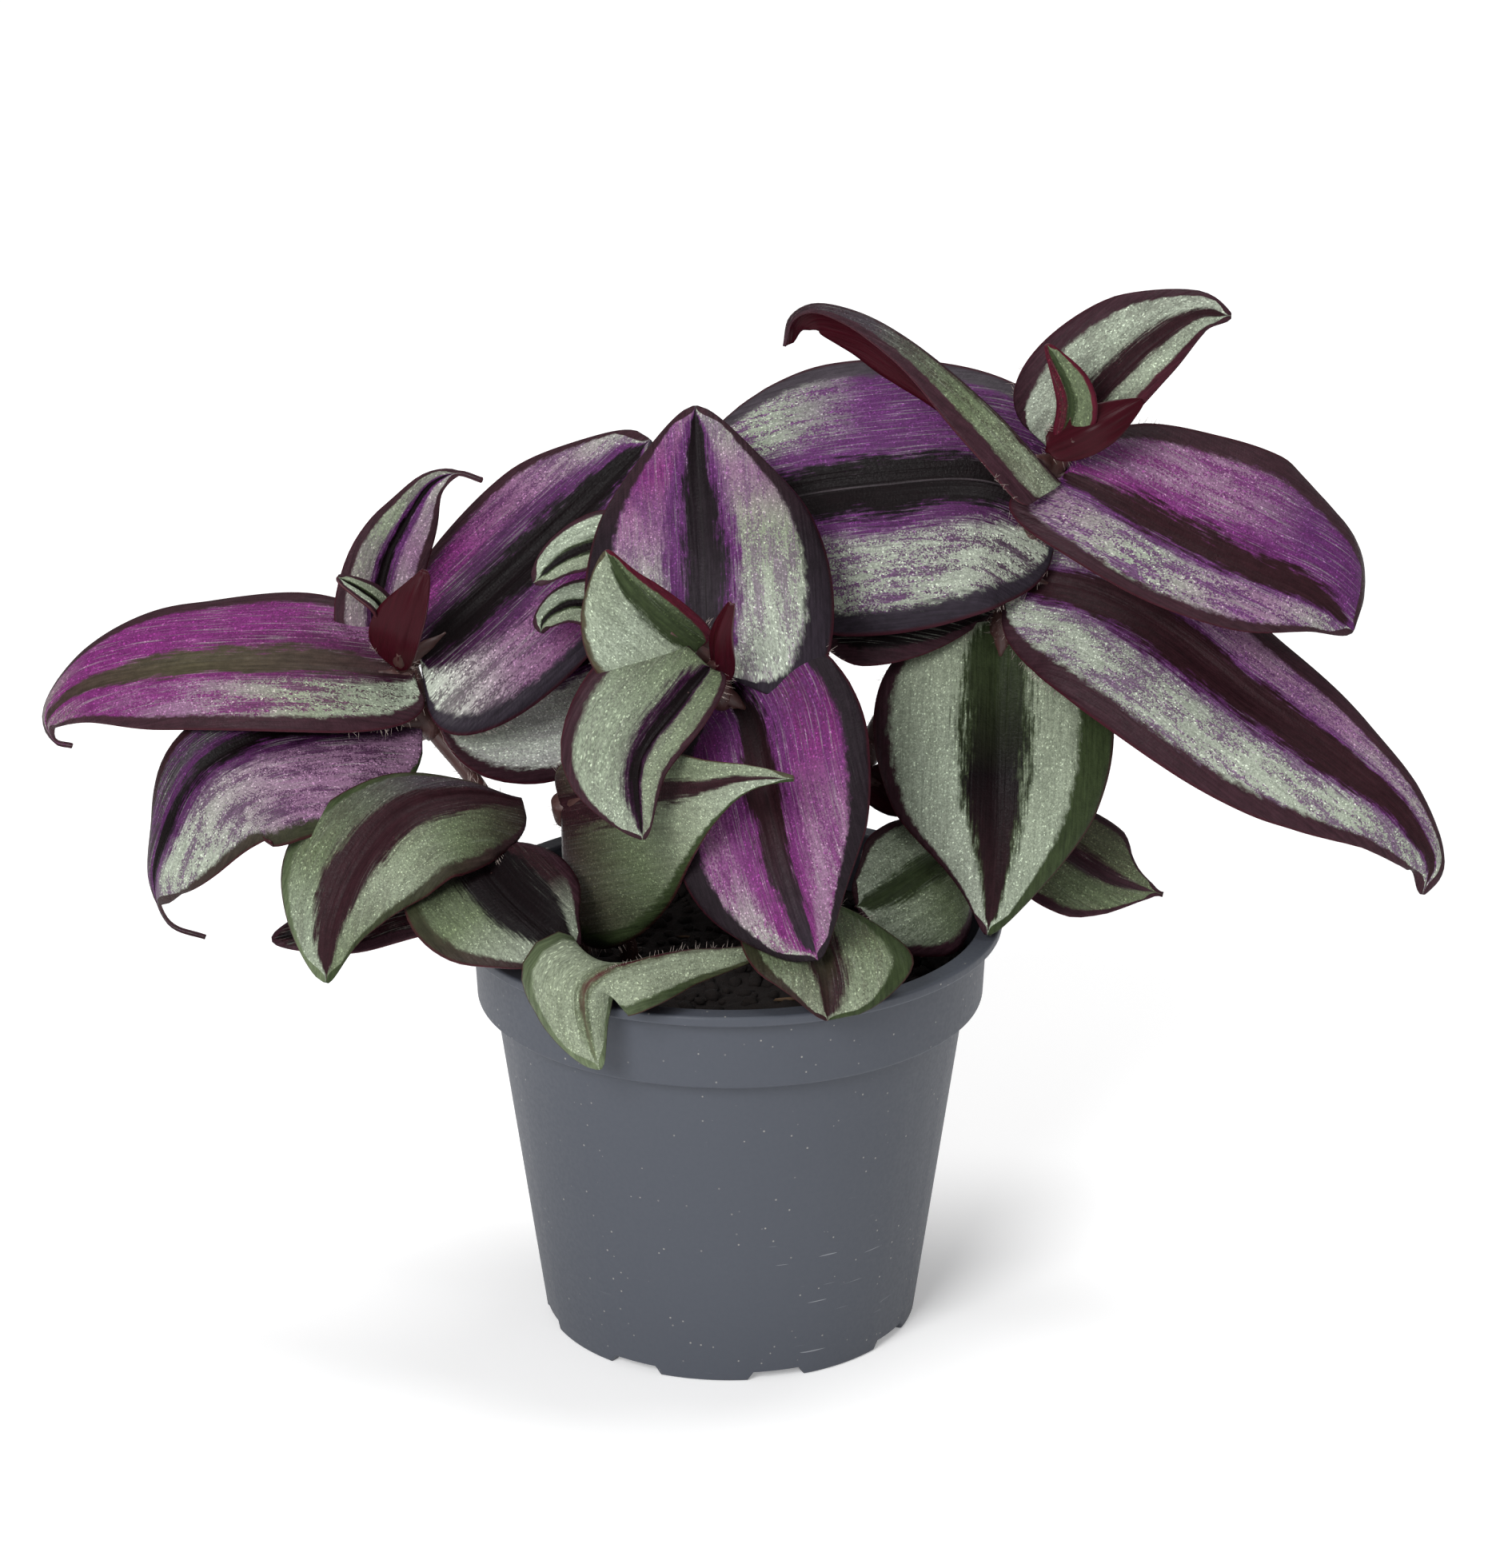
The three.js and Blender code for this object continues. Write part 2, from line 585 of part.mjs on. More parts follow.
// The upper face as rows of points from the root to the tip.
function bladeRows(leaf, rows, across) {
  const midrib = curve(leaf.midrib);
  const grid = [];
  for (let i = 0; i <= rows; i += 1) {
    const even = i / rows;
    const t = 0.5 * even + 0.25 * (1 - Math.cos(Math.PI * even));
    const middle = midrib.getPointAt(t);
    const tangent = midrib.getTangentAt(t);
    const normal = facing(leaf.faces, t, tangent);
    const outward = tangent.clone().cross(normal);
    const fold = THREE.MathUtils.lerp(leaf.fold[0], leaf.fold[1], t);
    const row = [];
    for (let j = 0; j <= across; j += 1) {
      const u = (2 * j) / across - 1;
      const side = u > 0 ? 1 : 0;
      const width = breadth(t, side, leaf);
      const half = leaf.half[side] * width + BLADE.tip / 2;
      const [out, up] = section(Math.abs(u), fold, leaf.arch);
      const back = ofHalf(leaf.lobe ?? 0, side) * u * u * width * Math.pow(1 - t, 3);
      const point = middle.clone();
      point.addScaledVector(outward, Math.sign(u) * out * half);
      point.addScaledVector(normal, up * half);
      row.push(point.addScaledVector(tangent, -back));
    }
    grid.push(row);
  }
  return grid;
}

// A blade: its upper face, and its underside one thickness below, both split into triangles alike.
function bladeSolid(leaf) {
  const length = curve(leaf.midrib).getLength();
  const rows = THREE.MathUtils.clamp(Math.round(length / BLADE.cell), 4, 10);
  const across = Math.max(...leaf.half) < 5 ? 2 : BLADE.across;
  const upper = bladeRows(leaf, rows, across);
  const near = (i, last) => [Math.max(i - 1, 0), Math.min(i + 1, last)];
  const lower = upper.map((row, i) =>
    row.map((point, j) => {
      const [before, after] = near(i, rows);
      const [left, right] = near(j, across);
      const along = upper[after][j].clone().sub(upper[before][j]);
      const normal = upper[i][right].clone().sub(upper[i][left]).cross(along).normalize();
      return point.clone().addScaledVector(normal, -BLADE.thickness);
    }),
  );
  const corners = [];
  const quad = (a, b, c, d) => corners.push(a, b, c, a, c, d);
  for (let i = 0; i < rows; i += 1) {
    for (let j = 0; j < across; j += 1) {
      quad(upper[i][j], upper[i][j + 1], upper[i + 1][j + 1], upper[i + 1][j]);
      corners.push(lower[i][j], lower[i + 1][j + 1], lower[i][j + 1]);
      corners.push(lower[i][j], lower[i + 1][j], lower[i + 1][j + 1]);
    }
    quad(upper[i][0], upper[i + 1][0], lower[i + 1][0], lower[i][0]);
    quad(upper[i + 1][across], upper[i][across], lower[i][across], lower[i + 1][across]);
  }
  for (let j = 0; j < across; j += 1) {
    quad(upper[0][j + 1], upper[0][j], lower[0][j], lower[0][j + 1]);
    quad(upper[rows][j], upper[rows][j + 1], lower[rows][j + 1], lower[rows][j]);
  }
  return solidOf(new THREE.BufferGeometry().setFromPoints(corners));
}

// The closed sheath round the stem where a leaf grows, and the neck from it into the blade.
function sheathSolids(leaf, stem) {
  const midrib = curve(leaf.midrib);
  const root = midrib.getPointAt(0);
  let nearest = 0;
  for (let t = 0; t <= 1; t += 0.01) {
    if (stem.getPointAt(t).distanceTo(root) < stem.getPointAt(nearest).distanceTo(root)) nearest = t;
  }
  const joint = stem.getPointAt(nearest);
  const along = stem.getTangentAt(nearest).multiplyScalar(SHEATH.length / 2);
  const low = joint.clone().sub(along);
  const high = joint.clone().add(along);
  const inner = Math.min(SHEATH.reach / midrib.getLength(), 0.3);
  const under = facing(leaf.faces, inner, midrib.getTangentAt(inner)).multiplyScalar(-SHEATH.neck);
  const inBlade = midrib.getPointAt(inner).add(under);
  return [
    solidOf(bar(low, high, SHEATH.wide, SHEATH.narrow, STEM.sides)),
    solidOf(bar(joint, inBlade, SHEATH.wide * 0.8, SHEATH.neck, STEM.sides)),
  ];
}

function makeShoot(shoot) {
  const stem = curve(shoot.stem);
  const ring = new THREE.Shape().absarc(0, 0, STEM.radius, 0, 2 * Math.PI);
  const steps = Math.max(3, Math.round(stem.getLength() / STEM.step));
  const settings = { steps, curveSegments: STEM.sides / 2, extrudePath: stem, bevelEnabled: false };
  const [x, y] = shoot.stem[0];
  const foot = new THREE.Vector3(x, y, STEM.foot);
  const plugTop = new THREE.Vector3(x, y, STEM.plugTop);
  let body = solidOf(new THREE.ExtrudeGeometry(ring, settings));
  body = body.add(solidOf(bar(foot, plugTop, STEM.plugRadius, STEM.plugRadius, STEM.sides)));
  for (const leaf of shoot.leaves) {
    body = body.add(bladeSolid(leaf));
    for (const sheath of sheathSolids(leaf, stem)) body = body.add(sheath);
  }
  // Fusing can leave scraps of no volume beside the stem. They are dropped.
  const [whole, ...scraps] = body.decompose().sort((a, b) => b.volume() - a.volume());
  if (scraps.some((scrap) => scrap.volume() > 0.01)) throw new Error(`${shoot.name} is in two`);
  return whole;
}

// ---------------------------------------------------------------- the assembly

const plant = new THREE.Group();

function place(name, solid, color, roughness) {
  const material = new THREE.MeshStandardMaterial({ color, roughness, metalness: 0 });
  const mesh = new THREE.Mesh(geometryOf(solid), material);
  mesh.name = name;
  plant.add(mesh);
}

place("pot", makePot(), 0x595e68, 0.55);
place("soil", makeSoil(), 0x1c1512, 0.95);
for (const shoot of SHOOTS) place(shoot.name, makeShoot(shoot), 0x6b5470, 0.5);

export default plant;
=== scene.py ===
import itertools
import math
import random

import bmesh
import bpy
from mathutils import Matrix, Vector, noise


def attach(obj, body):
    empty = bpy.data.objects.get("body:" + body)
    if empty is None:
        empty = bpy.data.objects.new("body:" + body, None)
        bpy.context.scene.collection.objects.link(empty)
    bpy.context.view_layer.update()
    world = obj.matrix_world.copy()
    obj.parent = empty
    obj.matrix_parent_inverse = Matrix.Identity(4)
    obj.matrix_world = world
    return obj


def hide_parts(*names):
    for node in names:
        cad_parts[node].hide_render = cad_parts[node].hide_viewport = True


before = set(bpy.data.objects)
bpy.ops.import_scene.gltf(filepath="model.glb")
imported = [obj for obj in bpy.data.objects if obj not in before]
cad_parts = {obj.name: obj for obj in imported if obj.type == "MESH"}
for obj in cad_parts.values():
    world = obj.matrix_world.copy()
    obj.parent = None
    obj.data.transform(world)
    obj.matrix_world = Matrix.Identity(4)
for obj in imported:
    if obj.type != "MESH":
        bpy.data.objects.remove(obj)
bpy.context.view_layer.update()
MM = 0.001

# ---------------- the pot
# A thin nursery pot, injection-moulded in one piece from matt blue-grey plastic: a cone-shaped body,
# a stepped collar and a turned-out lip. It stands on a ring with notches, and its floor has drains.


def tint(hexadecimal):
    """A colour as seen on a screen, as the linear RGBA that a shader takes."""
    shares = [int(hexadecimal[i:i + 2], 16) / 255 for i in (0, 2, 4)]
    return [x / 12.92 if x <= 0.04045 else ((x + 0.055) / 1.055) ** 2.4 for x in shares] + [1]


class Finish:
    """A material under construction: each call adds one node and gives its output."""

    def __init__(self, name):
        self.material = bpy.data.materials.new(name)
        self.material.use_nodes = True
        self.tree = self.material.node_tree
        self.shader = self.tree.nodes["Principled BSDF"]

    def node(self, kind, inputs, output=0, **settings):
        made = self.tree.nodes.new(kind)
        for key, value in settings.items():
            setattr(made, key, value)
        for key, value in inputs.items():
            if isinstance(value, bpy.types.NodeSocket):
                self.tree.links.new(value, made.inputs[key])
            else:
                made.inputs[key].default_value = value
        return made.outputs[output]

    def place(self):
        return self.node("ShaderNodeTexCoord", {}, "Object")

    def attribute(self, name, output="Vector"):
        return self.node("ShaderNodeAttribute", {}, output, attribute_name=name)

    def stretched(self, vector, scale):
        return self.node("ShaderNodeMapping", {"Vector": vector, "Scale": scale})

    def noise(self, vector, scale, detail, roughness=0.5):
        inputs = {"Vector": vector, "Scale": scale, "Detail": detail, "Roughness": roughness}
        return self.node("ShaderNodeTexNoise", inputs)

    def streaks(self, place, across, length, detail, roughness=0.5):
        """Noise on a blade or a stalk, by how often it changes in a millimetre each way."""
        return self.noise(self.stretched(place, (across, length, 1)), 1, detail, roughness)

    def cells(self, vector, scale, output="Distance"):
        return self.node("ShaderNodeTexVoronoi", {"Vector": vector, "Scale": scale}, output)

    def math(self, operation, first, second=0.0):
        return self.node("ShaderNodeMath", {0: first, 1: second}, operation=operation)

    def sum(self, first, second):
        return self.math("ADD", first, second)

    def product(self, first, second):
        return self.math("MULTIPLY", first, second)

    def ramp(self, value, low, high, start=0.0, end=1.0):
        """start below low, end above high, and a smooth step between."""
        inputs = {"Value": value, "From Min": low, "From Max": high, "To Min": start, "To Max": end}
        return self.node("ShaderNodeMapRange", inputs, interpolation_type="SMOOTHSTEP")

    def spread(self, value, start, end):
        """Takes a noise, which mostly lies between 0.2 and 0.8, to the range from start to end."""
        return self.ramp(value, 0.2, 0.8, start, end)

    def parts(self, vector):
        split = self.tree.nodes.new("ShaderNodeSeparateXYZ")
        self.tree.links.new(vector, split.inputs[0])
        return split.outputs

    def blend(self, share, first, second, way="MIX"):
        inputs = {0: share, 6: first, 7: second}
        return self.node("ShaderNodeMix", inputs, 2, data_type="RGBA", blend_type=way)

    def bump(self, height, distance, strength, under=None):
        """Relief of a height in metres, on top of the relief under it."""
        inputs = {"Height": height, "Distance": distance, "Strength": strength}
        if under is not None:
            inputs["Normal"] = under
        return self.node("ShaderNodeBump", inputs)

    def surface(self, **inputs):
        """Sets the shader's own sockets. Underscores in a name stand for spaces."""
        for key, value in inputs.items():
            socket = self.shader.inputs[key.replace("_", " ")]
            if isinstance(value, bpy.types.NodeSocket):
                self.tree.links.new(value, socket)
            else:
                socket.default_value = value
        return self.material


def finished(name, bm, materials, nodes):
    """A piece from its mesh. It rides on the part and stands for its solids."""
    mesh = bpy.data.meshes.new(name)
    bm.to_mesh(mesh)
    bm.free()
    mesh.shade_smooth()
    for material in materials:
        mesh.materials.append(material)
    piece = bpy.data.objects.new(name, mesh)
    bpy.context.scene.collection.objects.link(piece)
    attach(piece, "root")
    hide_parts(*nodes)
    return piece


def profile_line(bm, profile):
    """Joins (radius, height) points, in millimetres, by edges and gives their vertices."""
    verts = [bm.verts.new((radius * MM, 0, height * MM)) for radius, height in profile]
    for pair in zip(verts, verts[1:]):
        bm.edges.new(pair)
    return verts


def spin_round(bm, steps):
    """Turns the profile that a mesh holds once round the Z axis."""
    bmesh.ops.spin(
        bm, geom=bm.verts[:] + bm.edges[:], axis=(0, 0, 1), angle=math.tau, steps=steps,
        use_merge=True,
    )


POT_STEPS = 200
FOOT_RADIUS = 31.0
FOOT_RING = 2.1
FLOOR_LOW = 1.6
FLOOR_HIGH = 2.8
BODY_RADIUS = 39.1
LEDGE_HEIGHT = 57.3
LEDGE_RADIUS = 41.9
COLLAR_RADIUS = 42.5
LIP_RADIUS = 45.0
LIP_HEIGHT = 71.0
LIP = 1.8
WALL = 1.1
EDGE = 0.5
CORNER_STEPS = 3

pot_profile = [
    (FOOT_RADIUS - FOOT_RING, FLOOR_LOW),
    (FOOT_RADIUS - FOOT_RING, 0),
    (FOOT_RADIUS, 0),
    (BODY_RADIUS, LEDGE_HEIGHT),
    (LEDGE_RADIUS, LEDGE_HEIGHT),
    (COLLAR_RADIUS, LIP_HEIGHT - LIP),
    (LIP_RADIUS, LIP_HEIGHT - LIP),
    (LIP_RADIUS, LIP_HEIGHT),
    (COLLAR_RADIUS - WALL, LIP_HEIGHT),
    (LEDGE_RADIUS - WALL, LEDGE_HEIGHT + WALL),
    (BODY_RADIUS - WALL, LEDGE_HEIGHT + WALL / 2),
    (FOOT_RADIUS - WALL, FLOOR_HIGH),
]
bm = bmesh.new()
profile_verts = profile_line(bm, pot_profile)
bmesh.ops.bevel(
    bm, geom=profile_verts[1:-1], offset=EDGE * MM, offset_type="OFFSET", segments=CORNER_STEPS,
    profile=0.5, affect="VERTICES", material=-1,
)
spin_round(bm, POT_STEPS)

# the notches lift the rounded lower edge of the foot ring
NOTCH_COUNT = 8
NOTCH_FIRST = -75.6
NOTCH_WIDTH = 8.7
NOTCH_HEIGHT = 1.5
NOTCH_ROUNDING = 0.15
ROUNDED_EDGE = 1.1 * EDGE

notch_pitch = 360 / NOTCH_COUNT
half_notch = math.degrees(NOTCH_WIDTH / 2 / FOOT_RADIUS)
for vert in bm.verts:
    azimuth = math.degrees(math.atan2(vert.co.y, vert.co.x))
    off_notch = abs((azimuth - NOTCH_FIRST + notch_pitch / 2) % notch_pitch - notch_pitch / 2)
    if off_notch < half_notch and vert.co.z < ROUNDED_EDGE * MM:
        vert.co.z = NOTCH_HEIGHT * MM + NOTCH_ROUNDING * vert.co.z

# the floor is closed below and above, all but its drains
DRAIN_COUNT = 8
DRAIN_FIRST = -53.1
DRAIN_RADIUS = 2.4
DRAIN_SIDES = 24
DRAIN_RING = 24.0
LEVEL_SLACK = 0.01


def drain_centre(i, level):
    azimuth = math.radians(DRAIN_FIRST + 360 * i / DRAIN_COUNT)
    return Vector((DRAIN_RING * math.cos(azimuth), DRAIN_RING * math.sin(azimuth), level)) * MM


for level in (FLOOR_LOW, FLOOR_HIGH):
    outline = [
        e for e in bm.edges
        if e.is_boundary and all(abs(v.co.z - level * MM) < LEVEL_SLACK * MM for v in e.verts)
    ]
    for i in range(DRAIN_COUNT):
        circle = bmesh.ops.create_circle(
            bm, cap_ends=False, segments=DRAIN_SIDES, radius=DRAIN_RADIUS * MM,
            matrix=Matrix.Translation(drain_centre(i, level)),
        )
        outline += {e for v in circle["verts"] for e in v.link_edges}
    bmesh.ops.triangle_fill(bm, use_beauty=True, edges=outline)
for i in range(DRAIN_COUNT):
    middle = drain_centre(i, 0).xy
    rims = [
        e for e in bm.edges
        if e.is_boundary and (e.verts[0].co.xy - middle).length < 1.5 * DRAIN_RADIUS * MM
    ]
    bmesh.ops.bridge_loops(bm, edges=rims)
bmesh.ops.recalc_face_normals(bm, faces=bm.faces[:])

plastic = Finish("pot plastic")
place = plastic.place()
cloud = plastic.noise(place, 18, 3)
grain = plastic.noise(place, 1400, 2)
dust = plastic.cells(place, 520)
dust_here = plastic.noise(place, 130, 1)
speck = plastic.product(plastic.ramp(dust, 0.11, 0.05), plastic.ramp(dust_here, 0.42, 0.55))
scratch = plastic.noise(plastic.stretched(place, (90, 90, 2600)), 1, 1)
scratched = plastic.product(plastic.ramp(scratch, 0.735, 0.75), plastic.ramp(cloud, 0.55, 0.62))
colour = plastic.blend(cloud, tint("40444d"), tint("454952"))
colour = plastic.blend(plastic.product(speck, 0.45), colour, tint("c3beb4"))
colour = plastic.blend(plastic.product(scratched, 0.5), colour, tint("aeb0b4"))
rough = plastic.spread(grain, 0.5, 0.62)
relief = plastic.bump(grain, 0.05 * MM, 0.35)
pot_plastic = plastic.surface(Base_Color=colour, Roughness=rough, Normal=relief, IOR=1.45)

pot = finished("nursery_pot", bm, [pot_plastic], ["pot"])
flat = pot.modifiers.new("flat between the rounded edges", "WEIGHTED_NORMAL")
flat.keep_sharp = False

# ---------------- the peat
# Loose dark potting peat, pressed into the pot by hand and levelled off below the lip. Its top is
# crumbly, with bits of bark and root fibre.

SOIL_GAP = 0.3
SOIL_RIM = 60.5
SOIL_TOP = 61.0
SOIL_STEPS = 120
SOIL_RINGS = 34
COLLAR_SLOPE = 0.2
CORNER_ROOM = 0.2
LEDGE_ROOM = 0.3
LUMP_HEIGHT = 0.7
CRUMB_HEIGHT = 0.55

rim = LEDGE_RADIUS - WALL + (COLLAR_RADIUS - LEDGE_RADIUS) * COLLAR_SLOPE - SOIL_GAP
soil_profile = [
    (0, FLOOR_HIGH + SOIL_GAP),
    (FOOT_RADIUS - WALL - SOIL_GAP, FLOOR_HIGH + SOIL_GAP),
    (BODY_RADIUS - WALL - SOIL_GAP - CORNER_ROOM, LEDGE_HEIGHT + WALL / 2 + SOIL_GAP),
    (LEDGE_RADIUS - WALL - SOIL_GAP - LEDGE_ROOM, LEDGE_HEIGHT + WALL + SOIL_GAP + CORNER_ROOM),
    (rim, SOIL_RIM),
]
soil_profile += [(rim * (1 - i / SOIL_RINGS), SOIL_TOP) for i in range(1, SOIL_RINGS + 1)]


def soil_height(x, y):
    """Height of the peat's crumbly top, all in millimetres."""
    coarse = math.sin(x * 0.31 + 1.3) * math.cos(y * 0.27 - 0.4)
    fine = math.sin(x * 0.83 - y * 0.61) * math.cos(x * 0.47 + y * 0.92)
    crumbly = noise.fractal((x * 0.55, y * 0.55, 0), 0.9, 2.1, 4)
    return SOIL_TOP + LUMP_HEIGHT * (0.6 * coarse + 0.4 * fine) + CRUMB_HEIGHT * crumbly


bm = bmesh.new()
profile_line(bm, soil_profile)
spin_round(bm, SOIL_STEPS)
bmesh.ops.remove_doubles(bm, verts=bm.verts[:], dist=0.02 * MM)
for vert in bm.verts:
    if vert.co.z > (SOIL_RIM + 0.1) * MM:
        vert.co.z = soil_height(vert.co.x / MM, vert.co.y / MM) * MM
bmesh.ops.recalc_face_normals(bm, faces=bm.faces[:])

# crumbs, and then bark fibres, lie half sunk in the top: sizes in millimetres, lengths in sizes
CRUMBS = 520
CRUMB_SIZE = (0.5, 1.5)
CRUMB_LENGTH = (0.9, 1.6)
FIBRES = 16
FIBRE_SIZE = (0.35, 0.5)
FIBRE_LENGTH = (4, 7)
BIT_THICKNESS = (0.6, 0.9)
BIT_TILT = 0.3
BIT_LIFT = 0.2
RAGGEDNESS = 0.35
RIM_CLEARANCE = 2
BITS_SEED = 7

noise.seed_set(BITS_SEED)
chance = random.Random(BITS_SEED)
for i in range(CRUMBS + FIBRES):
    fibre = i >= CRUMBS
    reach = (rim - RIM_CLEARANCE) * math.sqrt(chance.random())
    azimuth = chance.uniform(0, math.tau)
    x, y = reach * math.cos(azimuth), reach * math.sin(azimuth)
    size = chance.uniform(*(FIBRE_SIZE if fibre else CRUMB_SIZE))
    length = chance.uniform(*(FIBRE_LENGTH if fibre else CRUMB_LENGTH))
    heading = Matrix.Rotation(chance.uniform(0, math.tau), 4, "Z")
    tilt = Matrix.Rotation(BIT_TILT * chance.gauss(0, 1), 4, "Y")
    shape = Matrix.Diagonal((length, 1, chance.uniform(*BIT_THICKNESS), 1))
    spot = Matrix.Translation(Vector((x, y, soil_height(x, y) + BIT_LIFT * size)) * MM)
    made = bmesh.ops.create_icosphere(
        bm, subdivisions=1, radius=size * MM, matrix=spot @ (heading @ tilt) @ shape,
    )
    for vert in made["verts"]:
        vert.co += noise.noise_vector(vert.co * 1500) * RAGGEDNESS * size * MM
    if fibre:
        for face in {f for v in made["verts"] for f in v.link_faces}:
            face.material_index = 1

peat = Finish("peat")
place = peat.place()
lumps = peat.noise(place, 700, 4, 0.65)
grit = peat.cells(place, 1500, "Color")
colour = peat.blend(lumps, tint("080505"), tint("1c1310"))
colour = peat.blend(0.25, colour, peat.blend(grit, tint("110b09"), tint("2c1f18")))
relief = peat.bump(lumps, 0.5 * MM, 0.8)
dark_peat = peat.surface(Base_Color=colour, Roughness=0.92, Normal=relief)

bark = Finish("bark bits")
colour = bark.blend(bark.noise(bark.place(), 900, 3), tint("3d2c20"), tint("7d6448"))
tan_bark = bark.surface(Base_Color=colour, Roughness=0.8)

finished("peat", bm, [dark_peat, tan_bark], ["soil"])

# ---------------- left stem
# A hairy creeping stem that rises from the left of the peat and bends out over the rim. Each leaf
# closes round it with a sheath, and is purple below and striped silver, green and violet above.

CURVE_STEPS = 24


def catmull(points):
    """A smooth curve through points: close samples of it, and its length up to each of them."""
    knots = [Vector(p) for p in points]
    knots = [knots[0] * 2 - knots[1]] + knots + [knots[-1] * 2 - knots[-2]]
    samples = []
    for a, b, c, d in zip(knots, knots[1:], knots[2:], knots[3:]):
        gaps = [max((q - p).length ** 0.5, 1e-4) for p, q in ((a, b), (b, c), (c, d))]
        start = (b - a) / gaps[0] - (c - a) / (gaps[0] + gaps[1]) + (c - b) / gaps[1]
        end = (c - b) / gaps[1] - (d - b) / (gaps[1] + gaps[2]) + (d - c) / gaps[2]
        start, end = start * gaps[1], end * gaps[1]
        for i in range(CURVE_STEPS):
            t = i / CURVE_STEPS
            samples.append(
                b * (2 * t**3 - 3 * t**2 + 1) + start * (t**3 - 2 * t**2 + t)
                + c * (3 * t**2 - 2 * t**3) + end * (t**3 - t**2)
            )
    samples.append(knots[-2])
    lengths = [0.0]
    for p, q in zip(samples, samples[1:]):
        lengths.append(lengths[-1] + (q - p).length)
    return samples, lengths


def along(curve, t):
    """The point and the direction of a curve at a share t of its length."""
    samples, lengths = curve
    goal = min(max(t, 0), 1) * lengths[-1]
    i = next((i for i in range(1, len(lengths)) if lengths[i] >= goal), len(lengths) - 1)
    span = max(lengths[i] - lengths[i - 1], 1e-9)
    point = samples[i - 1].lerp(samples[i], (goal - lengths[i - 1]) / span)
    before, after = samples[max(i - 2, 0)], samples[min(i + 1, len(samples) - 1)]
    return point, (after - before).normalized()


def smooth(low, high, x):
    """0 below low, 1 above high, and a smooth step between."""
    share = min(max((x - low) / (high - low), 0), 1)
    return share * share * (3 - 2 * share)


def pick(values, t):
    """The value at a share t along evenly spaced ones."""
    place = t * (len(values) - 1)
    i = min(int(place), max(len(values) - 2, 0))
    return values[i].lerp(values[min(i + 1, len(values) - 1)], place - i)


# slate and grey paint a blue-grey sheen on dark margins and centres; pale is silver brightened as
# painted light
PALETTE = {
    "pale": "dce2d8", "frost": "b3bbad", "silver": "9ca395", "lilac": "85647f", "mist": "98a290",
    "sage": "858e79", "leaf": "5f6a50", "moss": "313b24", "olive": "443f30", "violet": "572a5c",
    "magenta": "6c2863", "deep": "2c0d29", "plum": "2a151a", "dark": "0c0507", "charcoal": "1f181d",
    "brown": "331e25", "slate": "2b252d", "wine": "47101f", "grey": "3d373d",
}


def hues(words):
    """The colours of the palette that a line of words names."""
    return [Vector(tint(PALETTE[word])) for word in words.split()]


def pair(value):
    """What the left half and the right half take: the same, unless two are given."""
    return value if isinstance(value, (list, tuple)) else (value, value)


LEAST_HALF = 0.5
TIP_STARTS = 0.6
RIPPLE_HEIGHT = 0.3
RIPPLE_LENGTH = 4.5
GROOVE_DEPTH = 0.3
GROOVE_WIDTH = 0.06


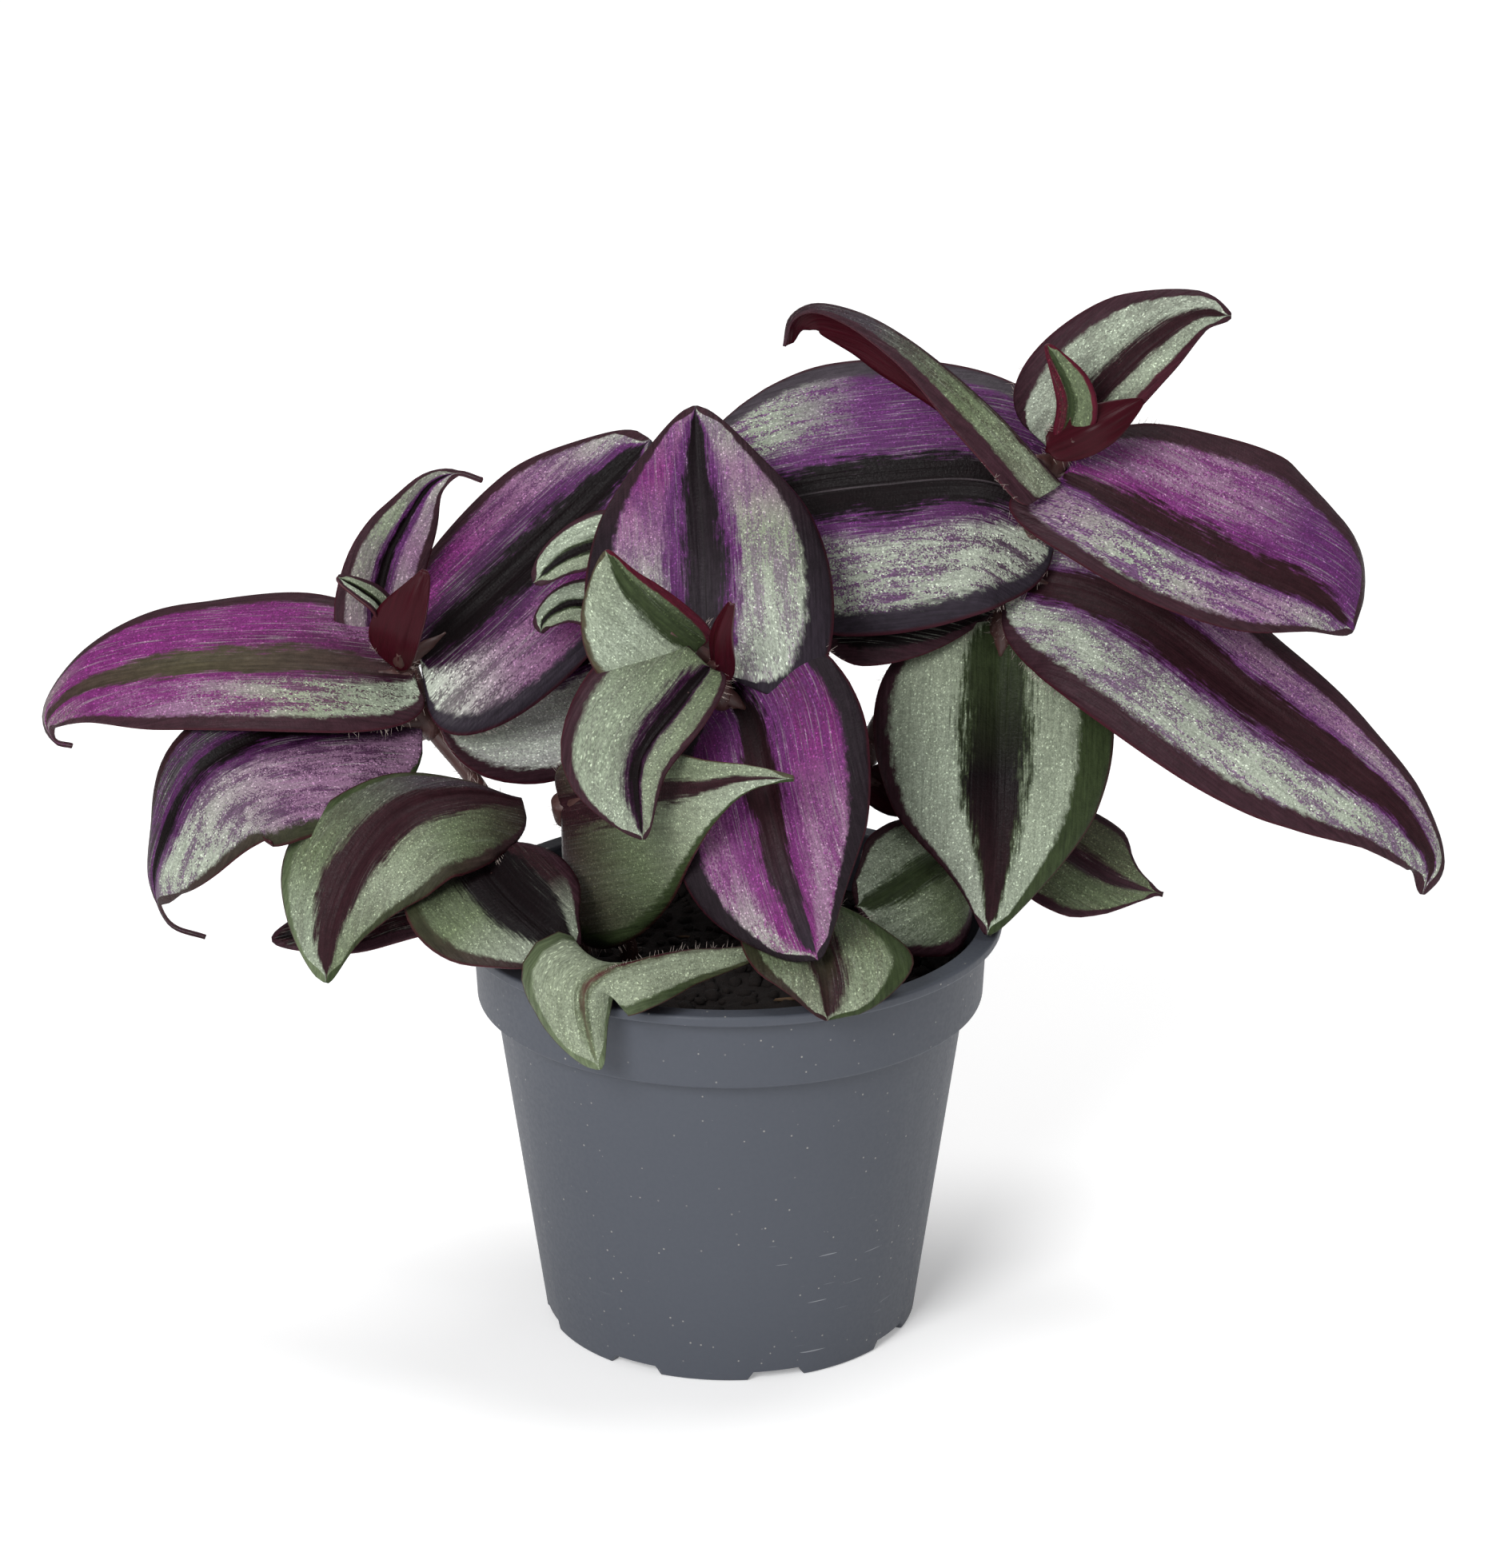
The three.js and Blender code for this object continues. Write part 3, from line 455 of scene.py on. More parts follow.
class Leaf:
    """A blade: a curved midrib with a half on each side. Of two values, the first is the left half's.

    midrib: points from base to tip, in millimetres; faces: which way it looks, base to tip
    half: the greatest width of a half, in millimetres; widest: where along the length that is
    fold: how steeply the halves rise from the midrib at its base and at its tip, in degrees
    arch: how far they bend down again, in degrees; lobe: how far back the base reaches
    slim: how much a half narrows towards both ends; sharp: how much more towards the tip
    tail: the share of the length that is a thin tip
    left, right: colours of the halves, base to tip; inner: the colour next to the dark centre
    bands: the shares of a half where the centre ends, the inner colour ends and the margin starts
    line: the midrib line, from dark (-1) to pale (1); patchy: how much inner colour lies in the rest
    fringes: hairs along lines of the blade, each as its place across (-1 to 1), start and end
    """

    def __init__(self, seed, midrib, faces, half, fold=(20, 10), arch=40, widest=0.4, lobe=0,
                 slim=1.15, sharp=0.25, tail=0, left="lilac", right=None, inner="violet",
                 centre="dark", margins="brown", bands=(0.12, 0.3, 0.76), line=0.0, patchy=0.7,
                 fringes=((-1, 0.02, 0.2), (1, 0.02, 0.2))):
        self.seed, self.half, self.fold, self.arch = seed, pair(half), fold, math.radians(arch)
        self.curve = catmull(midrib)
        self.length = self.curve[1][-1]
        self.faces = [Vector(face).normalized() for face in faces]
        self.outlines = list(zip(pair(widest), pair(slim), pair(sharp), pair(lobe)))
        self.tail, self.fringes = tail, fringes
        self.stripes = (hues(left), hues(right or left))
        self.inner = [hues(words) for words in pair(inner)]
        self.centre = hues(centre)
        self.margins = [hues(words) for words in pair(margins)]
        self.bands = bands if isinstance(bands[0], tuple) else (bands, bands)
        self.line, self.patchy = line, patchy
        self.rows = {}

    def breadth(self, t, half):
        """How wide a half is at t, as a share of its widest."""
        widest, slim, sharp, _ = self.outlines[half]
        t = min(max(t / (1 - self.tail), 1e-6), 1 - 1e-6)
        full = (t / widest) ** widest * ((1 - t) / (1 - widest)) ** (1 - widest)
        return full**slim * (1 - sharp * smooth(TIP_STARTS, 1, t))

    def row(self, t):
        """Middle, direction, side and normal of the blade at t, and the breadths of its halves."""
        if t not in self.rows:
            middle, tangent = along(self.curve, t)
            hint = pick(self.faces, t)
            normal = (hint - tangent * hint.dot(tangent)).normalized()
            side = tangent.cross(normal)
            self.rows[t] = middle, tangent, side, normal, self.breadth(t, 0), self.breadth(t, 1)
        return self.rows[t]

    def point(self, u, t):
        """A point of the upper face in millimetres, and how far it is from the midrib."""
        right = u > 0
        middle, tangent, side, normal, *widths = self.row(t)
        width = widths[right]
        half = self.half[right] * width + LEAST_HALF
        fold = math.radians(self.fold[0] + (self.fold[1] - self.fold[0]) * t)
        end = fold - self.arch * abs(u)
        out = (math.sin(fold) - math.sin(end)) / self.arch * half
        up = (math.cos(end) - math.cos(fold)) / self.arch * half
        back = self.outlines[right][3] * u * u * width * (1 - t) ** 3
        ripple = math.sin(t * self.length / RIPPLE_LENGTH + self.seed * 1.7 + 2 * right)
        up += RIPPLE_HEIGHT * ripple * abs(u) ** 3 * width
        up -= GROOVE_DEPTH * math.exp(-((u / GROOVE_WIDTH) ** 2)) * width
        sign = 1 if right else -1
        return middle + side * (sign * out) + normal * up - tangent * back, sign * abs(u) * half


def sheet(bm, columns, rows, surface):
    """A grid of faces. surface(vert, u, v) places each vertex: u from -1 to 1 and v from 0 to 1."""
    made = bmesh.ops.create_grid(bm, x_segments=columns, y_segments=rows, size=1)
    rows_of = {}
    for vert in made["verts"]:
        rows_of.setdefault(round((vert.co.y + 1) / 2 * rows), []).append(vert)
    for i, row in rows_of.items():
        for vert in row:
            surface(vert, vert.co.x, i / rows)
    return made["verts"]


COLUMNS = 28
NARROW = 6
ROW = 1.1
TIP_CLOSES = (0.93, 0.99)


def add_blade(bm, leaf):
    """The upper face of a blade as a sheet. Each vertex carries its place, its bands and colours."""
    off = bm.verts.layers.float["off"]
    skin, bands = (bm.verts.layers.float_vector[key] for key in ("skin", "bands"))
    colours = bm.verts.layers.float_color
    centre, inner, stripe, margin = (colours[key] for key in ("centre", "inner", "stripe", "margin"))

    def surface(vert, u, even):
        t = 0.5 * even + 0.25 * (1 - math.cos(math.pi * even))
        point, across = leaf.point(u, t)
        vert.co = point * MM
        right = u > 0
        vert[off] = abs(u)
        vert[skin] = (across, t * leaf.length, leaf.seed * 37)
        closing = 1 - 0.9 * smooth(*TIP_CLOSES, t / (1 - leaf.tail))
        vert[bands] = [limit * closing for limit in leaf.bands[right]]
        vert[centre] = (*pick(leaf.centre, t)[:3], 0.5 + 0.5 * leaf.line)
        vert[inner] = (*pick(leaf.inner[right], t)[:3], leaf.patchy)
        vert[stripe] = pick(leaf.stripes[right], t)
        vert[margin] = pick(leaf.margins[right], t)

    columns = COLUMNS // 2 if max(leaf.half) < NARROW else COLUMNS
    sheet(bm, columns, max(12, round(leaf.length / ROW)), surface)


TUBE_ROW = 0.9


def add_tube(bm, path, radii, sides, seed):
    """A round stalk along a path. radii are its thicknesses at even steps along it."""
    skin = bm.verts.layers.float_vector["skin"]
    length = path[1][-1]
    rows = max(4, round(length / TUBE_ROW))
    frames = []
    across = along(path, 0)[1].orthogonal()
    for i in range(rows + 1):
        point, tangent = along(path, i / rows)
        across = (across - tangent * across.dot(tangent)).normalized()
        frames.append((point, across, tangent.cross(across)))

    def surface(vert, u, v):
        point, first, second = frames[round(v * rows)]
        angle = u * math.pi
        place = v * (len(radii) - 1)
        i = min(int(place), len(radii) - 2)
        radius = radii[i] + (radii[i + 1] - radii[i]) * smooth(0, 1, place - i)
        vert.co = (point + (first * math.cos(angle) + second * math.sin(angle)) * radius) * MM
        vert[skin] = (angle * radius, v * length, seed)

    made = sheet(bm, sides, rows, surface)
    bmesh.ops.remove_doubles(bm, verts=made, dist=0.002 * MM)
    open_ends = {e for v in made if v.is_valid for e in v.link_edges if e.is_boundary}
    bmesh.ops.holes_fill(bm, edges=list(open_ends), sides=0)


HAIR_RADIUS = 0.035
STALK_HAIR = (0.6, 1.7)
STALK_HAIR_LEAN = (-0.2, 0.7)
STALK_HAIR_ROOT = 0.1
FRINGE_HAIR = (0.6, 1.8)
FRINGE_PER_MM = 1.8
FRINGE_RISE = 0.3
FRINGE_DISORDER = 0.3
FRINGE_ROOT = 0.2


def add_hair(bm, root, direction, length):
    """One fine hair as a thin three-sided cone."""
    turn = direction.to_track_quat("Z", "X").to_matrix().to_4x4()
    spot = Matrix.Translation((root + direction * length / 2) * MM)
    made = bmesh.ops.create_cone(
        bm, cap_ends=True, segments=3, radius1=HAIR_RADIUS * MM, radius2=HAIR_RADIUS * MM / 4,
        depth=length * MM, matrix=spot @ turn,
    )
    for face in {f for v in made["verts"] for f in v.link_faces}:
        face.material_index = 1


def join(bm, tuft):
    """Adds a tuft of hairs to a piece. Small meshes are much quicker to build."""
    mesh = bpy.data.meshes.new("tuft")
    tuft.to_mesh(mesh)
    tuft.free()
    bm.from_mesh(mesh)
    bpy.data.meshes.remove(mesh)


def hairs_round(bm, path, radius, per_mm, chance):
    """Hairs that stand off a stalk on all sides, at random."""
    tuft = bmesh.new()
    for _ in range(round(path[1][-1] * per_mm)):
        point, tangent = along(path, chance.random())
        across = tangent.orthogonal().normalized()
        angle = chance.uniform(0, math.tau)
        out = across * math.cos(angle) + tangent.cross(across) * math.sin(angle)
        direction = (out + tangent * chance.uniform(*STALK_HAIR_LEAN)).normalized()
        root = point + out * (radius - STALK_HAIR_ROOT)
        add_hair(tuft, root, direction, chance.uniform(*STALK_HAIR))
    join(bm, tuft)


def hairs_beside(bm, leaf, u, start, end, chance):
    """A fringe of hairs along a line of a blade, from one share of its length to another."""
    tuft = bmesh.new()
    for _ in range(round((end - start) * leaf.length * FRINGE_PER_MM)):
        t = chance.uniform(start, end)
        side, normal = leaf.row(t)[2:4]
        direction = side * u + normal * (1 if u == 0 else FRINGE_RISE)
        loose = Vector([chance.gauss(0, FRINGE_DISORDER) for _ in range(3)])
        root = leaf.point(u, t)[0] - normal * FRINGE_ROOT
        add_hair(tuft, root, (direction + loose).normalized(), chance.uniform(*FRINGE_HAIR))
    join(bm, tuft)


def stripes_finish():
    """The upper side of a blade: stripes with painted sparkle and glints, between a dark centre and a
    dark margin.
    """
    skin = Finish("striped leaf")
    off = skin.attribute("off", "Fac")
    centre_end, inner_end, margin_start = skin.parts(skin.attribute("bands"))
    place = skin.attribute("skin")
    across, *_ = skin.parts(place)
    brushed = skin.streaks(place, 2.4, 0.13, 3, 0.6)
    patches = skin.streaks(place, 0.42, 0.085, 5, 0.7)
    ragged = skin.streaks(place, 1.1, 0.5, 3, 0.65)
    cells = skin.cells(skin.stretched(place, (5, 4.2, 1)), 1, "Color")
    spark, painted_glint, third_spark = skin.parts(cells)

    # the borders of the bands: the outer one is neat, the others stray
    neat_line = skin.sum(off, skin.spread(ragged, -0.03, 0.03))
    straying = skin.sum(skin.spread(brushed, -0.05, 0.05), skin.spread(patches, -0.07, 0.07))
    rough_line = skin.sum(neat_line, straying)

    def beyond(line, limit, softness):
        return skin.ramp(skin.math("SUBTRACT", line, limit), -softness, softness)

    def times(colour, shade):
        return skin.blend(1.0, colour, shade, "MULTIPLY")

    # the stripe of each half, with patches of the inner colour, pale streaks, and painted sparkle and
    # glints
    silver = skin.attribute("stripe", "Color")
    purple = skin.attribute("inner", "Color")
    patchy = skin.attribute("inner", "Alpha")
    speckled = skin.sum(patches, skin.ramp(third_spark, 0, 1, -0.07, 0.07))
    speckled = skin.sum(speckled, skin.spread(brushed, -0.06, 0.06))
    colour = skin.blend(skin.product(skin.ramp(speckled, 0.48, 0.56), patchy), silver, purple)
    colour = skin.blend(beyond(rough_line, inner_end, 0.07), purple, colour)
    streak = skin.streaks(place, 4.5, 0.1, 2)
    streaky = skin.product(skin.ramp(streak, 0.54, 0.68, 0, 0.3), patchy)
    colour = skin.blend(streaky, colour, tint("a9afa4"))
    # painted sparkle: each cell of the grain a little lighter or darker, and a few lit up as painted
    # glints
    painted_sparkle = skin.sum(skin.ramp(spark, 0, 1, 0.72, 1.12), skin.ramp(painted_glint, 0.9, 1, 0, 1.2))
    body = times(colour, skin.product(painted_sparkle, skin.spread(brushed, 0.78, 1.22)))

    # the dark centre and the margin on either side of it, the midrib line and a red edge
    dull = skin.product(skin.spread(brushed, 0.7, 1.3), skin.spread(ragged, 0.75, 1.25))
    dark = times(skin.attribute("centre", "Color"), dull)
    rim = times(skin.attribute("margin", "Color"), dull)
    colour = skin.blend(beyond(rough_line, centre_end, 0.05), dark, body)
    colour = skin.blend(beyond(neat_line, margin_start, 0.035), colour, rim)
    near_line = skin.ramp(skin.math("ABSOLUTE", across), 0.22, 0.06)
    line_tone = skin.attribute("centre", "Alpha")
    line = skin.blend(line_tone, tint("0a0608"), tint("8b7f86"))
    line_share = skin.math("ABSOLUTE", skin.sum(skin.product(line_tone, 2), -1))
    line_share = skin.product(line_share, skin.ramp(brushed, 0.35, 0.6, 0.3, 1))
    colour = skin.blend(skin.product(near_line, line_share), colour, line)
    red_edge = skin.ramp(off, 0.965, 0.995)
    colour = skin.blend(skin.product(red_edge, 0.75), colour, tint("40141f"))

    veins = skin.streaks(place, 1.3, 0.04, 2)
    relief = skin.bump(veins, 0.5 * MM, 0.45)
    wrinkles = skin.streaks(place, 1.7, 2.4, 3, 0.6)
    relief = skin.bump(wrinkles, 0.18 * MM, 0.6, relief)
    relief = skin.bump(spark, 0.05 * MM, 0.5, relief)
    rough = skin.ramp(spark, 0, 1, 0.36, 0.52)
    return skin.surface(Base_Color=colour, Roughness=rough, Normal=relief, Specular_IOR_Level=0.09)


def streaked_finish(name, across, length, dark, light, depth, strength, **rest):
    """A skin with fine streaks of two tones along it."""
    skin = Finish(name)
    streaks = skin.streaks(skin.attribute("skin"), across, length, 3, 0.55)
    colour = skin.blend(streaks, tint(dark), tint(light))
    return skin.surface(Base_Color=colour, Normal=skin.bump(streaks, depth * MM, strength), **rest)


striped_leaf = stripes_finish()
leaf_underside = streaked_finish(
    "purple underside", 1.4, 0.12, "210509", "3f0b18", 0.4, 0.4,
    Roughness=0.38, Specular_IOR_Level=0.1,
)
leaf_edge = Finish("wine-red leaf edge").surface(Base_Color=tint("43161f"), Roughness=0.45)
brown_stalk = streaked_finish("brown stalk", 1.2, 0.15, "2c1514", "553531", 0.3, 0.5, Roughness=0.5)
pale_hair = Finish("pale hairs").surface(Base_Color=tint("b9aaa2"), Roughness=0.5)

THICKNESS = 0.5
STALK_FOOT = 58
STALK_RADIUS = 1.4
STALK_SIDES = 20
STALK_HAIRS = 5
SHEATH_HALF = 3
SHEATH_RADII = [1.5, 2.3, 2.2, 1.9]
SHEATH_HAIRS = 9
NECK_RADII = [1.9, 1.4, 0.4]
NECK_SIDES = 16
NECK_REACH = 6
NECK_DEPTH = 0.45
PATH_STEPS = 100
leaf_seeds = itertools.count(1)


class Stem:
    """A stalk that rises from the peat, and the blades that grow from it."""

    def __init__(self, name, points):
        self.name = name
        self.chance = random.Random(name)
        self.blades = bmesh.new()
        self.blades.verts.layers.float.new("off")
        for key in ("skin", "bands"):
            self.blades.verts.layers.float_vector.new(key)
        for key in ("centre", "inner", "stripe", "margin"):
            self.blades.verts.layers.float_color.new(key)
        self.stalk = bmesh.new()
        self.stalk.verts.layers.float_vector.new("skin")
        self.path = catmull([[*points[0][:2], STALK_FOOT], *points])
        radii = [STALK_RADIUS + 0.2, STALK_RADIUS, STALK_RADIUS, STALK_RADIUS]
        add_tube(self.stalk, self.path, radii, STALK_SIDES, 0)
        hairs_round(self.stalk, self.path, STALK_RADIUS, STALK_HAIRS, self.chance)

    def leaf(self, **form):
        """Adds a blade, a sheath round the stalk where it grows, and the neck between them."""
        leaf = Leaf(next(leaf_seeds), **form)
        add_blade(self.blades, leaf)
        root = leaf.point(0, 0)[0]
        places = [along(self.path, i / PATH_STEPS) for i in range(PATH_STEPS + 1)]
        joint, upwards = min(places, key=lambda place: (place[0] - root).length)
        sheath = catmull([joint - upwards * SHEATH_HALF, joint, joint + upwards * SHEATH_HALF])
        add_tube(self.stalk, sheath, SHEATH_RADII, STALK_SIDES, leaf.seed)
        hairs_round(self.stalk, sheath, SHEATH_RADII[1] - 0.2, SHEATH_HAIRS, self.chance)
        for u, start, end in leaf.fringes:
            hairs_beside(self.stalk, leaf, u, start, end, self.chance)
        middle, _, _, normal, *_ = leaf.row(min(NECK_REACH / leaf.length, 0.3))
        inside = middle - normal * NECK_DEPTH
        neck = catmull([joint, joint.lerp(inside, 0.5), inside])
        add_tube(self.stalk, neck, NECK_RADII, NECK_SIDES, leaf.seed)

    def done(self):
        """Makes the two pieces of the stem: its leaves, given their thickness, and its stalk."""
        skins = [striped_leaf, leaf_underside, leaf_edge]
        upper = finished(f"{self.name}_leaves", self.blades, skins, [self.name])
        thick = upper.modifiers.new("blade thickness", "SOLIDIFY")
        thick.thickness = THICKNESS * MM
        thick.offset = -1
        thick.material_offset = 1
        thick.material_offset_rim = 2
        finished(f"{self.name}_stalk", self.stalk, [brown_stalk, pale_hair], [self.name])


stem = Stem("stem_left", [
    [-25, 3, 64], [-32, 1, 72], [-37.5, 0, 86], [-42.5, 2, 94], [-50, 5, 103], [-53.5, 6, 112],
])
# long leaf to the far left, its tip curled under
stem.leaf(
    midrib=[
        [-51.5, 4, 111], [-71, 2, 113.5], [-93, 5, 111.5], [-107, 9, 106.5], [-113, 12, 100],
        [-112, 12, 96.5], [-109, 11, 96],
    ],
    faces=[[0, -0.6, 0.8], [0, -0.6, 0.8], [-0.8, -0.5, 0.2]], half=[12.5, 14.5], widest=[0.33, 0.36],
    lobe=[7, 3], tail=0.05,
    left="mist sage lilac magenta sage", right="lilac magenta magenta magenta sage",
    inner="plum magenta magenta", centre="brown olive brown",
    bands=((0.14, 0.26, 0.8), (0.2, 0.4, 0.82)), patchy=0.9,
)
# the leaf below it, hanging over with a curled tip
stem.leaf(
    midrib=[
        [-50.5, 4, 102.5], [-63, 0, 104], [-77, -5, 103.5], [-86, -8, 99], [-91.5, -10, 89],
        [-94, -9, 79.5], [-92, -8, 72], [-86, -8, 69.5],
    ],
    faces=[[0, -0.6, 0.8], [-0.3, -0.7, 0.6], [-0.8, -0.5, 0.2]], half=[19.5, 8.5], fold=[15, 10],
    widest=[0.42, 0.36], slim=[1, 1.15], tail=0.14,
    left="lilac lilac silver mist", right="slate grey plum", inner="deep violet",
    margins=("moss brown", "plum"), bands=((0.1, 0.22, 0.86), (0.14, 0.3, 0.8)), patchy=0.8,
)
# young upright leaf with a hooked tip
stem.leaf(
    midrib=[
        [-54, 8, 111], [-57.5, 10, 117.5], [-56.5, 11, 127], [-52.5, 11, 135.5], [-48.5, 9, 142],
        [-44, 7, 144.5], [-40, 5, 144],
    ],
    faces=[[0, -0.9, 0.3], [0.1, -0.95, 0.3], [0.5, -0.7, 0.5]], half=7, fold=[35, 35], arch=50,
    widest=[0.24, 0.3], lobe=[4, 0], tail=0.1,
    left="lilac sage sage", right="mist lilac mist", inner="plum violet violet",
    bands=(0.14, 0.3, 0.76), patchy=0.35,
)
# broad leaf up to the right
stem.leaf(
    midrib=[[-51, 6, 113.5], [-44, 9, 119], [-29.5, 14, 131.5], [-20, 17, 140], [-13, 19, 146.5]],
    faces=[[-0.1, -0.8, 0.6]], half=[14, 19.5], fold=[22, 10], arch=45, widest=[0.52, 0.36],
    lobe=[5, 14], slim=0.95,
    left="magenta magenta lilac silver", right="frost lilac magenta violet sage", inner="deep violet",
    margins=("brown", "slate"), bands=((0.22, 0.46, 0.86), (0.2, 0.38, 0.84)),
)
# rolled bud in the middle
stem.leaf(
    midrib=[[-54, 3, 112.5], [-53, -3, 119.5], [-51, -4, 126], [-49, -3, 131.4]],
    faces=[[0.3, 0.9, 0.3]], half=[2.6, 5.4], fold=[20, 20], arch=30, widest=[0.5, 0.42],
    slim=[1, 1.7],
    left="wine",
)
# small tip beside the bud
stem.leaf(
    midrib=[[-55.5, 4, 113.5], [-56.5, 0, 124], [-59.5, -3, 128], [-63, -4, 130.5]],
    faces=[[0.3, -0.6, 0.7]], half=[2.2, 2.4], fold=[20, 20], arch=30, widest=0.5,
    left="mist", right="sage", inner="moss", bands=(0.1, 0.2, 0.7), patchy=0.1,
)
# silver leaf under the broad one; its pale is painted light, against the broad leaf's shade
stem.leaf(
    midrib=[[-48.5, 8, 108.5], [-39, 14, 106.5], [-28.5, 22, 105.5], [-18, 30, 108]],
    faces=[[0, -0.7, 0.7]], half=[9, 19], fold=[15, 10], lobe=[0, 6],
    left="violet mist pale", right="silver pale pale", bands=(0.1, 0.2, 0.86), patchy=0.3,
)
# sage leaf on the lower joint, blunt tip down
stem.leaf(
    midrib=[
        [-34, -1, 91], [-43, -8, 95], [-52.5, -15, 94.5], [-59.5, -20, 88], [-63.5, -24, 79],
        [-65, -26, 69],
    ],
    faces=[[0, -0.6, 0.8], [-0.3, -0.8, 0.5], [-0.3, -0.9, 0.2]], half=[14.5, 13.5], fold=[20, 15],
    widest=[0.4, 0.76], slim=[1.25, 2.6], sharp=[0.5, 0.55],
    left="plum leaf sage leaf", right="plum grey leaf mist", inner="plum", centre="plum",
    margins=("brown moss", "brown moss leaf"), bands=((0.2, 0.3, 0.84), (0.26, 0.34, 0.84)),
    patchy=0.3,
)
stem.done()

# ---------------- centre stem
# The stem nearest the viewer. Its heart-shaped leaf faces the front, and a young leaf and a violet
# one hang down over the pot. Its tip has a new leaf whose margin is still rolled.

stem = Stem("stem_centre", [[9, 4, 64], [7, -8, 85], [2, -20, 105], [-3, -25, 123]])
# heart-shaped leaf that faces the front; grey and slate paint a sheen on its centre and margin
stem.leaf(
    midrib=[[-3, -24, 121.5], [-3.5, -20, 128], [-4, -11, 137], [-5, -1, 147.5], [-5.5, 5, 156.5]],
    faces=[[0, -0.75, 0.66]], half=[20, 21], fold=[30, 25], arch=65, widest=0.33, lobe=[9, 12],
    slim=1,
    left="mist silver lilac magenta lilac", right="frost silver sage lilac mist",
    centre="grey charcoal dark", margins=("brown charcoal brown", "slate charcoal brown"),
    bands=((0.18, 0.34, 0.76), (0.16, 0.28, 0.76)), line=-0.9, patchy=0.6,
)
# small green leaf over its left half
stem.leaf(
    midrib=[[-5, -30, 127], [-10, -33, 132], [-15.5, -36, 139], [-19, -36, 145.5]],
    faces=[[-0.2, -0.85, 0.5]], half=[13, 4.5], fold=[20, 20], arch=50, widest=0.32, lobe=4,
    left="sage mist sage", right="moss leaf", inner="moss", centre="moss", margins=("olive", "wine"),
    bands=((0.05, 0.1, 0.9), (0.3, 0.5, 0.7)), patchy=0.3,
)
# young leaf hanging down to the left
stem.leaf(
    midrib=[[-3, -32, 125], [-7.5, -37, 121], [-14, -41, 112.5], [-13.5, -42, 100]],
    faces=[[-0.1, -0.9, 0.4], [-0.1, -0.9, 0.3], [-0.1, -0.95, 0.2]], half=[5, 14], fold=[30, 25],
    arch=50, lobe=4,
    left="leaf sage", right="leaf mist", inner="deep", bands=(0.12, 0.22, 0.82), patchy=0.3,
)
# its rolled red margin, standing up beside the growing tip
stem.leaf(
    midrib=[[-1.5, -28, 121], [-1.5, -34, 130.5], [0.5, -36, 137]],
    faces=[[0.5, 0.8, 0.2]], half=2.2, fold=[60, 50], widest=0.35,
    left="wine",
)
# violet leaf hanging down the middle
stem.leaf(
    midrib=[
        [-1, -21, 119.1], [3, -25, 114.5], [5.5, -32, 106], [8.5, -38, 95], [11.5, -42.5, 86.5],
        [14, -43, 80],
    ],
    faces=[[-0.1, -0.9, 0.4], [-0.25, -0.93, 0.3], [-0.2, -0.95, 0.1]], half=[18, 17.5],
    fold=[28, 20], arch=55, widest=[0.3, 0.55], slim=[1.1, 1],
    left="deep magenta lilac lilac", right="violet magenta lilac silver", inner="violet magenta",
    centre="dark plum slate", margins="charcoal", bands=((0.15, 0.3, 0.78), (0.18, 0.4, 0.72)),
    patchy=0.8,
)
stem.done()

# ---------------- right stem
# The tallest stem. Seven leaves spread from its end like a fan, the oldest of them lowest, and a
# bud stands in the newest leaf.

stem = Stem("stem_right", [
    [31, 12, 64], [37, 11, 80], [42, 9, 100], [45, 8, 119], [47.5, 6, 130], [52, 1, 147],
])
# very broad leaf to the left
stem.leaf(
    midrib=[[52.5, 8, 138.5], [41, 8, 143], [24.5, 9, 142], [9, 11, 139], [-8, 12, 133.5]],
    faces=[[0, -0.8, 0.6]], half=[25, 23], fold=[20, 12], arch=45, widest=[0.5, 0.58], lobe=12,
    slim=0.8,
    left="silver silver mist", right="deep violet violet mist lilac", inner="deep violet violet",
    margins=("slate", "grey"), bands=((0.22, 0.36, 0.84), (0.2, 0.36, 0.84)), line=0.3, patchy=0.9,
)
# narrow leaf arching up to the left, its halves turned down like a roof
stem.leaf(
    midrib=[
        [53, -6, 147], [42.5, -4, 158.5], [28.5, 0, 169.3], [20, 3, 173], [13, 4, 173.8],
        [9.5, 4, 171.5], [8.5, 3, 167],
    ],
    faces=[[0.62, 0.1, 0.78], [0.5, 0.15, 0.85], [-0.3, 0.1, 0.9]], half=[8.5, 9], fold=[-45, -45],
    arch=20, widest=[0.1, 0.6], lobe=[-1, 0], slim=[1.3, 1.2],
    left="sage leaf grey plum", inner="plum", centre="brown", bands=(0.04, 0.12, 0.66), patchy=0.5,
)
# young leaf at the very top
stem.leaf(
    midrib=[[51.5, 0, 150.5], [58.5, -1, 159.5], [67, 0, 168], [75, 2, 172.5], [80, 3, 172]],
    faces=[[-0.1, -0.9, 0.4]], half=[12.4, 6], fold=[30, 20], arch=50, widest=[0.3, 0.4], lobe=[1, 2],
    left="silver mist silver", right="sage mist", inner="plum", centre="plum",
    margins=("brown", "wine brown"), bands=(0.12, 0.24, 0.72), patchy=0.4,
)
# bud leaf inside it
stem.leaf(
    midrib=[[53, -6, 153], [54, -9, 161.5], [50, -10, 171]],
    faces=[[-0.1, -0.9, 0.3]], half=[2, 4], fold=[40, 30], arch=50, widest=0.35,
    left="wine", right="leaf", inner="moss", centre="moss", margins="wine", bands=(0.12, 0.24, 0.8),
    patchy=0.2,
)
# wine-red base of the young leaf, turned over in front of the bud
stem.leaf(
    midrib=[[50.5, -6.5, 152.5], [58, -10, 157.2], [65.5, -6, 160.6]],
    faces=[[0, 0.9, -0.3]], half=[3.2, 3.6], fold=[35, 30], widest=0.38,
)
